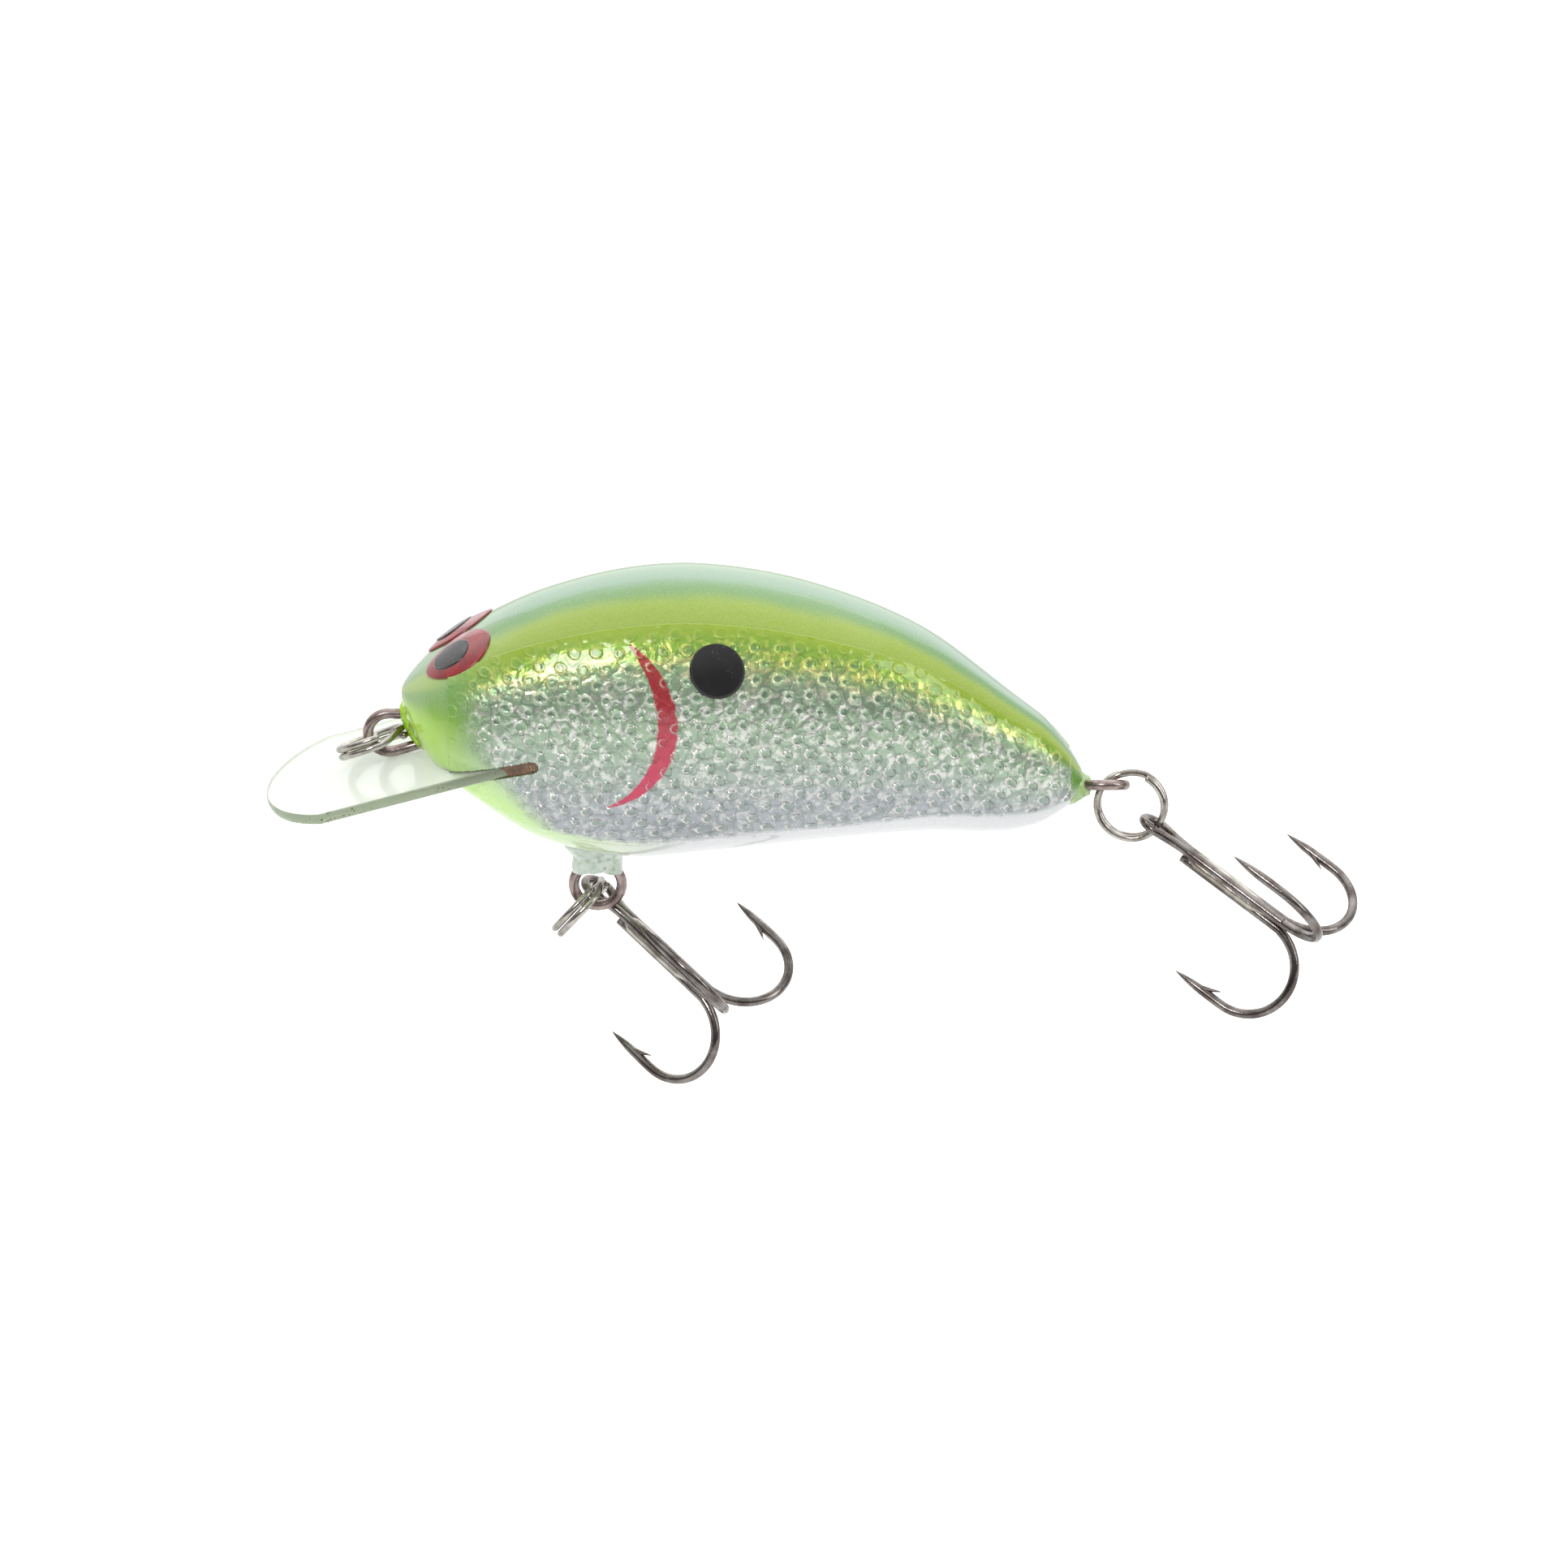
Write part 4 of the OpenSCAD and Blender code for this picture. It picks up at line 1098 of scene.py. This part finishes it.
@dataclass
class Flank(Assembly):
    """One flank's eye, pupil and round spot."""

    side: Side = Side.left
    eye_share: float = 0.087
    eye_length: float = 7.2
    eye_width: float = 5.2
    eyes_apart: float = 0.7
    pupil_share: float = 0.08
    spot_share: float = 0.462
    spot_angle: float = 32.7
    spot_size: float = 5.0

    def disc(
        self, t: float, a: float, length: float, width: float, low: float, high: float, dome: float
    ) -> Shape:
        """Lays a round or oval piece on the body, with a rounded edge and a domed top.

        Args:
            t: Share of the length at its middle.
            a: Angle round the section at its middle, in degrees.
            length: Its size along the body.
            width: Its size round the section.
            low: How far its underside stands off the body.
            high: How far its top stands off, without the dome.
            dome: How much its middle rises over that.
        Returns:
            The closed piece.
        """
        step = 0.005
        per_t = np.linalg.norm(FORM.point(t + step, a) - FORM.point(t - step, a)) / (2 * step)
        per_a = np.linalg.norm(FORM.point(t, a + 1) - FORM.point(t, a - 1)) / 2
        turn = np.linspace(0, -2 * np.pi, 96, endpoint=False)[None, :]
        roll = np.linspace(0, np.pi / 2, 8)[:, None]
        edge = min(0.5, high - low)
        inner = np.linspace(0.04, 0.94, 24)[:, None]
        top_r = np.concatenate([inner, 1 - edge / length * 2 * (1 - np.sin(roll))])
        rise = high - edge * (1 - np.cos(roll)) * 0.8
        top_out = np.concatenate([high + dome * (1 - inner**2), rise + dome * (1 - top_r[24:] ** 2)])
        r = np.concatenate([top_r, inner[::-1]])
        out = np.concatenate([top_out, np.full_like(inner, low)])
        rings = FORM.point(
            t + r * length / 2 * np.cos(turn) / per_t,
            a + r * width / 2 * np.sin(turn) / per_a,
            out + 0 * turn,
        )
        rings = rings[:, ::-1]
        return skin(FORM.point(t, a, high + dome), rings, FORM.point(t, a, low))

    @staticmethod
    def eye_angle(share: float, width: float, apart: float) -> float:
        """Gives the angle round the section of an eye's middle, from the gap between the two eyes."""
        wide = FORM.width * float(FORM.station(np.array([share]), 3)[0])
        return math.degrees(math.acos(((width + apart) / wide) ** (FORM.fullness / 2)))

    def build(self) -> None:
        """Makes the eye, its pupil and the spot."""
        name = self.side.name
        angle = self.eye_angle(self.eye_share, self.eye_width, self.eyes_apart)
        eye = self.disc(self.eye_share, angle, self.eye_length, self.eye_width, 0.02, 0.2, 0.2)
        self.keep(self.side.turn(eye), f"eye_dome_{name}", EYE_RED, "eye_red", f"eye_{name}")
        pupil = self.disc(self.pupil_share, angle, 4.1, 3.0, 0.2, 0.43, 0.06)
        self.keep(self.side.turn(pupil), f"pupil_disc_{name}", PUPIL, "pupil_black", f"pupil_{name}")
        size = self.spot_size
        spot = self.disc(self.spot_share, self.spot_angle, size, size, 0.15, 0.3, 0.03)
        self.keep(self.side.turn(spot), f"flank_spot_{name}", SPOT, "spot_black", f"spot_{name}")


@dataclass
class Lip(Assembly):
    """The clear lip, with a small round on its edges."""

    def build(self) -> None:
        """Stacks the plate's outline from its lower face to its upper one."""
        plan = LIP_PLAN
        half = plan.thickness / 2
        edge = 0.12
        turn = np.linspace(-np.pi / 2, np.pi / 2, 9)
        broad = [4.0, 2.0, 1.0, 0.2]
        insets = np.concatenate([broad, edge * (1 - np.cos(turn)), broad[::-1]])
        lower = -half + edge
        rounded = np.linspace(lower, -lower, 9) + edge * np.sin(turn)
        heights = np.concatenate([[-half] * 4, rounded, [half] * 4])
        outlines = [plan.outline(inset) for inset in insets]
        rings = np.stack([
            np.column_stack([outline, np.full(len(outline), height)])
            for outline, height in zip(outlines, heights)
        ])
        middle = plan.straight / 2
        shape = skin([middle, 0, -half], rings, [middle, 0, half])
        shape.points = plan.placed(shape.points)
        rim = np.concatenate([np.zeros(4), np.ones(9), np.zeros(4)])
        shape.values["edge"] = np.concatenate([[0.0], np.repeat(rim, rings.shape[1]), [0.0]])
        self.keep(shape, "lip_sheet", LIP, "clear_lip", "diving_lip")


@dataclass
class Ring(Assembly):
    """A split ring: two turns side by side, with one step between them."""

    name: str = "nose"
    middle: tuple = (0.0, 0.0, 0.0)
    axis: tuple = (0.0, 0.0, 1.0)
    radius: float = 3.15
    wire: float = 0.7
    gap: float = 0.04
    worn: float = 0.02
    first: float = 25.0
    last: float = 695.0

    def build(self) -> None:
        """Carries the wire twice round, and moves it over by one wire at the step."""
        axis = unit(self.axis)
        u = across([0, 0, 1], axis)
        v = np.cross(axis, u)
        angle = np.linspace(self.first, self.last, 300)
        step = ease(-30, 30, angle - 360) - 0.5
        turn = np.radians(angle)[:, None]
        path = np.array(self.middle) + self.radius * (np.cos(turn) * u + np.sin(turn) * v)
        path = path + (self.wire + self.gap) * step[:, None] * axis
        end = np.minimum(angle - self.first, self.last - angle)
        radii = (self.wire / 2 - self.worn) * (1 - 0.16 * ease(2.0, 0.0, end))
        shape = tube(path, radii, axis, 28)
        self.keep(shape, f"{self.name}_ring_coil", RING, "ring_nickel", f"{self.name}_split_ring")


@dataclass
class Treble(Assembly):
    """A treble hook: a bent double, a single brazed to it, and the braze."""

    name: str = "belly"
    link: tuple = (0.0, 0.0, 0.0)
    shank: tuple = (0.0, 0.0, -1.0)
    third: tuple = (1.0, 0.0, 0.0)
    length: float = 21.2
    wire: float = 0.9
    bend: float = 4.6
    point_height: float = 10.3
    eye_length: float = 4.8
    eye_width: float = 3.8
    hold: float = 1.82

    @property
    def pack(self) -> float:
        """How far each shank wire lies from the middle."""
        return (self.wire + 0.08) / math.sqrt(3)

    @property
    def bend_level(self) -> float:
        """How far below the top of the eye the bends start."""
        return self.length - self.wire / 2 - self.bend

    def axes(self) -> tuple[Array, Array, Array]:
        """Gives the directions across the eye, towards the third hook and along the shank."""
        s = unit(self.shank)
        g = across(self.third, s)
        return np.cross(g, s), g, s

    def world(self, local: Array) -> Array:
        """Takes points given across, outward and down from the eye's top to the lure's frame."""
        w, g, s = self.axes()
        return (
            np.array(self.link)
            + local[:, :1] * w
            + (local[:, 1:2] + self.pack / 2) * g
            + (local[:, 2:] - self.hold) * s
        )

    def curve(self, place: tuple, degrees: float) -> Array:
        """The bend and the point of one hook, from its shank place, towards an angle from the third hook."""
        way = np.array([math.sin(math.radians(degrees)), math.cos(math.radians(degrees))])
        turn = np.linspace(0, np.pi, 16)
        rise = self.length - self.point_height - self.bend_level
        out = np.concatenate([self.bend * (1 - np.cos(turn)), np.full(4, 2 * self.bend)])
        down = np.concatenate([self.bend * np.sin(turn), rise * np.array([0.35, 0.6, 0.85, 1.0])])
        return np.column_stack([np.array(place) + out[:, None] * way, self.bend_level + down])

    def barb(self, place: tuple, degrees: float) -> Shape:
        """A wedge raised from the inner side of the point, thick at its root and thin at its tip."""
        way = np.array([math.sin(math.radians(degrees)), math.cos(math.radians(degrees))])
        high = self.length - 8.0
        s = np.linspace(0, 1, 9)
        inward = -0.05 + (self.wire / 2 + 0.62) * s**1.2
        down = high + 2.4 * s
        local = np.column_stack([np.array(place) + (2 * self.bend - inward)[:, None] * way, down])
        radii = 0.32 * (1 - s) ** 0.8 + 0.03
        return tube(self.world(local), radii, self.axes()[1] + self.axes()[0], 12)

    def radii(self) -> Array:
        """The wire's radius from the bend to the sharp end."""
        r = self.wire / 2
        return np.concatenate([np.full(16, r), [r, 0.85 * r, 0.45 * r, 0.03]])

    def sweep(self, local: Array, radii: Array, side: Array) -> Shape:
        """Makes a smooth wire through local points."""
        both = smooth_path(np.column_stack([self.world(local), radii]), 5)
        return tube(both[:, :3], np.maximum(both[:, 3], 0.02), side, 22)

    def build(self) -> None:
        """Makes the double hook, the single one and the braze."""
        r = self.wire / 2
        gap = (self.wire + 0.08) / 2
        back = -self.pack / 2
        eye = (self.eye_width - self.wire) / 2
        turn = np.radians(np.linspace(15, 110, 7))
        half = np.column_stack([eye * np.sin(turn), np.full(7, back), r + eye * (1 - np.cos(turn))])
        straight = [[gap, back, self.eye_length + 0.4], [gap, back, (self.eye_length + self.bend_level) / 2]]
        right = np.concatenate([half, straight, self.curve((gap, back), 120)])
        left = right * np.array([-1, 1, 1])
        local = np.concatenate([left[::-1], [[0, back, r]], right])
        thick = np.concatenate([np.full(9, r), self.radii()])
        w, g, _ = self.axes()
        double = self.sweep(local, np.concatenate([thick[::-1], [r], thick]), g)
        barbs = [self.barb((sign * gap, back), sign * 120) for sign in (-1, 1)]
        pair = merge([double, *barbs])
        self.keep(pair, f"{self.name}_double_bend", HOOK, "hook_bronze", f"{self.name}_double_hook")
        top = [[0, self.pack, 5.4], [0, self.pack, (5.4 + self.bend_level) / 2]]
        third = np.concatenate([top, self.curve((0, self.pack), 0)])
        single = self.sweep(third, np.concatenate([[r, r], self.radii()]), w)
        pieces = merge([single, self.barb((0, self.pack), 0)])
        self.keep(pieces, f"{self.name}_single_bend", HOOK, "hook_bronze", f"{self.name}_single_hook")
        self.keep(self.braze(), f"{self.name}_braze_fillet", BRAZE, "braze_silver", f"{self.name}_braze")

    def braze(self) -> Shape:
        """Solder in the grooves between the wires: three shallow lobes, thinner towards both ends."""
        down = np.linspace(5.8, self.bend_level - 1, 60)
        turn = np.linspace(0, 2 * np.pi, 48, endpoint=False)
        reach = self.pack + 0.26
        grooves = 0.5 - 0.5 * np.cos(3 * turn)
        taper = ease(0, 1.2, down - down[0]) * ease(0, 2.0, down[-1] - down)
        wave = 0.03 * np.sin(down * 2.1)[:, None] * np.sin(3 * turn + 1)[None, :]
        radius = 0.42 + (reach - 0.42) * taper[:, None] * (0.55 + 0.45 * grooves[None, :]) + wave
        level = np.repeat(down[:, None], 48, 1)
        flat = np.stack([radius * np.sin(turn), radius * np.cos(turn), level], axis=-1)
        points = self.world(flat.reshape(-1, 3)).reshape(60, 48, 3)
        ends = self.world(np.array([[0, 0, down[0] - 0.1], [0, 0, down[-1] + 0.1]]))
        return skin(ends[0], points, ends[1])


@dataclass
class Fittings(Assembly):
    """The epoxy at each wire eye's root."""

    def build(self) -> None:
        """Makes the three pieces of epoxy."""
        self.belly_collar()
        self.tail_cone()
        self.nose_bead()

    def belly_collar(self) -> None:
        """An obround skirt that flares where it meets the belly, with an uneven lower rim."""
        x = FORM.hanger_x
        top, low = -FORM.belly + 1.1, -FORM.belly - 2.9
        share = np.linspace(0, 1, 40)
        turn = np.linspace(0, 2 * np.pi, 128, endpoint=False)
        flare = 0.9 * ease(0.55, 0.15, share)
        close = np.sqrt(np.clip(1 - ease(0.9, 1.0, share) * 0.9, 0.02, 1))
        round_y, round_x = np.sin(turn), np.cos(turn)
        straight = (4.7 - 2.8) / 2
        across_x = (1.4 + flare)[:, None] * round_x * close[:, None] + straight * np.tanh(round_x * 4)
        across_y = (1.4 + flare * 0.8)[:, None] * round_y * close[:, None]
        height = top + (low - top) * share[:, None] + 0 * turn
        sag = 0.5 * (across_x / 2.35) ** 2 * ease(0.5, 1.0, share)[:, None]
        level = height - sag + 0.35 * ease(0.5, 1, share)[:, None]
        points = np.stack([x + across_x, across_y, level], axis=-1)
        points[..., :2] += 0.05 * lumps(points, 1.3, 5)[..., None] * ease(0.2, 0.5, share)[:, None, None]
        points[..., 2] += 0.10 * lumps(points, 0.9, 8) * ease(0.7, 1.0, share)[:, None]
        shape = skin([x, 0, top], points[:, ::-1], [x, 0, float(points[-1, :, 2].mean())])
        self.keep(shape, "belly_collar_skirt", BELLY_EPOXY, "green_epoxy", "belly_collar")

    def tail_cone(self) -> None:
        """A small uneven cone round the tail eye's wires."""
        x = FORM.start + FORM.length
        z = FORM.tail_level * FORM.back
        share = np.linspace(0, 1, 36)
        turn = np.linspace(0, 2 * np.pi, 96, endpoint=False)
        radius = 1.95 + (1.16 - 1.95) * share**0.8
        radius = radius * np.sqrt(np.clip(1 - 0.5 * ease(0.93, 1.0, share), 0, 1))
        along = x - 1.5 + 2.0 * share
        side, rise = np.cos(turn), np.sin(turn)
        flat = 1 - 0.35 * ease(0.3, 1.0, share)[:, None]
        points = np.stack(
            [along[:, None] + 0 * turn, -radius[:, None] * side, z + radius[:, None] * rise * flat], axis=-1
        )
        chips = lumps(points, 0.8, 21)
        points += 0.07 * chips[..., None] * unit(points - [x, 0, z] + [1e-6, 0, 0])
        shape = skin([x - 1.5, 0, z], points[:, ::-1], [x + 0.5, 0, z])
        self.keep(shape, "tail_cone_epoxy", TAIL_EPOXY, "green_epoxy", "tail_collar")

    def nose_bead(self) -> None:
        """A proud bead of painted epoxy down the nose, from the line-tie's upper wire to the lip."""
        share = np.linspace(0, 1, 40)
        turn = np.linspace(0, 2 * np.pi, 64, endpoint=False)
        level = 3.3 - 4.9 * share
        front = np.interp(level, [-1.7, 0.0, 1.5, 3.4], [3.1, 2.15, 1.5, 1.25])
        grow = np.sqrt(np.clip(1 - (2 * share - 1) ** 6, 0.02, 1))
        depth = (0.75 * grow)[:, None] * np.cos(turn)
        wide = (1.25 * grow)[:, None] * np.sin(turn)
        points = np.stack([front[:, None] + 0.35 - depth, wide, level[:, None] + 0 * turn], axis=-1)
        points[..., 0] += 0.06 * lumps(points, 0.9, 33)
        shape = skin([front[0] + 0.35, 0, 3.4], points, [front[-1] + 0.35, 0, -1.7])
        self.keep(shape, "nose_bead_epoxy", NOSE_EPOXY, "green_epoxy", "line_tie_bond")


def dress_frame(nodes: dict[str, bpy.types.Object]) -> None:
    """Gives the CAD nodes that keep their own meshes their materials.

    Args:
        nodes: The frame's objects by node name.
    """
    finishes = {
        "lip_bond": BROWN_GLUE,
        "line_tie_eye": WIRE,
        "belly_hanger": WIRE,
        "tail_eye": WIRE,
        "ballast_weight": LEAD,
        "ballast_plug": FILLER,
    }
    for name, finish in finishes.items():
        thing = nodes[name]
        thing.data.materials.clear()
        thing.data.materials.append(finish.material())
        LOG.info("%s: %s", name, finish.name)


# --------------------------------------------------------------------------------------------------
# Stage


@dataclass(frozen=True)
class Softbox:
    """An area light, aimed at a point."""

    name: str
    place: tuple
    size: tuple
    power: float
    aim: tuple = (0.036, -0.002, -0.004)

    def build(self) -> None:
        """Makes the light."""
        data = bpy.data.lights.new(self.name, "AREA")
        data.shape = "RECTANGLE"
        data.size, data.size_y = self.size
        data.energy = self.power
        lamp = bpy.data.objects.new(self.name, data)
        bpy.context.scene.collection.objects.link(lamp)
        aim(lamp, self.place, self.aim)


def aim(thing: bpy.types.Object, place: tuple, target: tuple) -> None:
    """Puts an object at a place, with its -Z towards a target and its +Y up."""
    thing.location = place
    way = Vector(target) - Vector(place)
    thing.rotation_euler = way.to_track_quat("-Z", "Y").to_euler()


@dataclass(frozen=True)
class Studio:
    """The floor, the lights and the camera."""

    target: tuple = (0.03657, -0.00209, -0.00429)
    elevation: float = 26.0
    distance: float = 0.65
    lens: float = 161.1
    floor_level: float = -0.16

    def build(self) -> None:
        """Makes the stage."""
        floor = Shape(
            np.array([[-3000, -3000, 0], [3000, -3000, 0], [3000, 3000, 0], [-3000, 3000, 0]])
            + [0, 0, self.floor_level / MM],
            [[0, 1, 2, 3]],
        ).to_object("floor", Backdrop("floor").material())
        lights = (
            Softbox("top", (0.02, 0.10, 0.55), (0.9, 0.9), 0.9),
            Softbox("front", (-0.30, -0.65, 0.55), (0.25, 0.25), 1.8),
            Softbox("back", (0.10, 0.65, 0.25), (0.9, 0.5), 0.8),
            Softbox("right", (0.62, -0.25, 0.30), (0.25, 0.5), 1.0),
        )
        for light in lights:
            light.build()
        world = bpy.data.worlds.new("studio")
        world.use_nodes = True
        canvas = Canvas(world.node_tree)
        world.node_tree.nodes.clear()
        way = canvas.add("SeparateXYZ", {0: canvas.add("TexCoord").outputs["Generated"]}).outputs
        above = canvas.ramp(way["Z"], 0.15, 0.85, 0.0, 0.6)
        behind = canvas.ramp(way["Y"], -0.25, 0.6, 0.0, 0.75)
        strength = canvas.math("ADD", canvas.math("ADD", above, behind), 0.16)
        glow = canvas.add("Background", {"Color": (1, 1, 1, 1), "Strength": strength})
        out = canvas.add("OutputWorld")
        world.node_tree.links.new(glow.outputs[0], out.inputs[0])
        bpy.context.scene.world = world
        tilt = math.radians(self.elevation)
        x, y, z = self.target
        data = bpy.data.cameras.new("camera")
        data.lens = self.lens
        data.clip_start = 0.01
        camera = bpy.data.objects.new("camera", data)
        bpy.context.scene.collection.objects.link(camera)
        camera.location = (x, y - self.distance * math.cos(tilt), z + self.distance * math.sin(tilt))
        camera.rotation_euler = (math.pi / 2 - tilt, 0, 0)
        bpy.context.scene.camera = camera
        bpy.context.scene.view_settings.view_transform = "Standard"


def main() -> None:
    """Builds everything in order."""
    logging.basicConfig(level=logging.INFO, format="%(message)s")
    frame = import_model()
    Studio().build()
    parts = [Body("lure")]
    for side in Side:
        parts.append(Foil("lure", side))
        parts.append(Flank("lure", side))
    hanger_x = FORM.hanger_x
    hanger_z = -FORM.belly - 4
    parts += [
        Lip("lure"),
        Fittings("lure"),
        Ring("nose_ring", "nose", (-1.55, 0, -0.95), (-0.34, 0.34, 0.88)),
        Ring("belly_ring", "belly", (hanger_x - 1.6, 0.2, hanger_z - 2.5), (-0.72, 0.3, 0.62)),
        Ring("tail_ring", "tail", (68.82, -0.815, -7.08), (-0.2, -0.97, 0.16)),
        Treble(
            "belly_treble", "belly",
            (19.105, 2.886, -17.684), (0.69, -0.593, -0.418), (-0.497, 0.034, -0.867),
        ),
        Treble(
            "tail_treble", "tail",
            (71.216, -1.619, -8.961), (0.776, -0.46, -0.43), (-0.521, -0.085, -0.85),
        ),
    ]
    for part in parts:
        part.build()
    dress_frame(frame["nodes"])


if __name__ == "__main__":
    main()
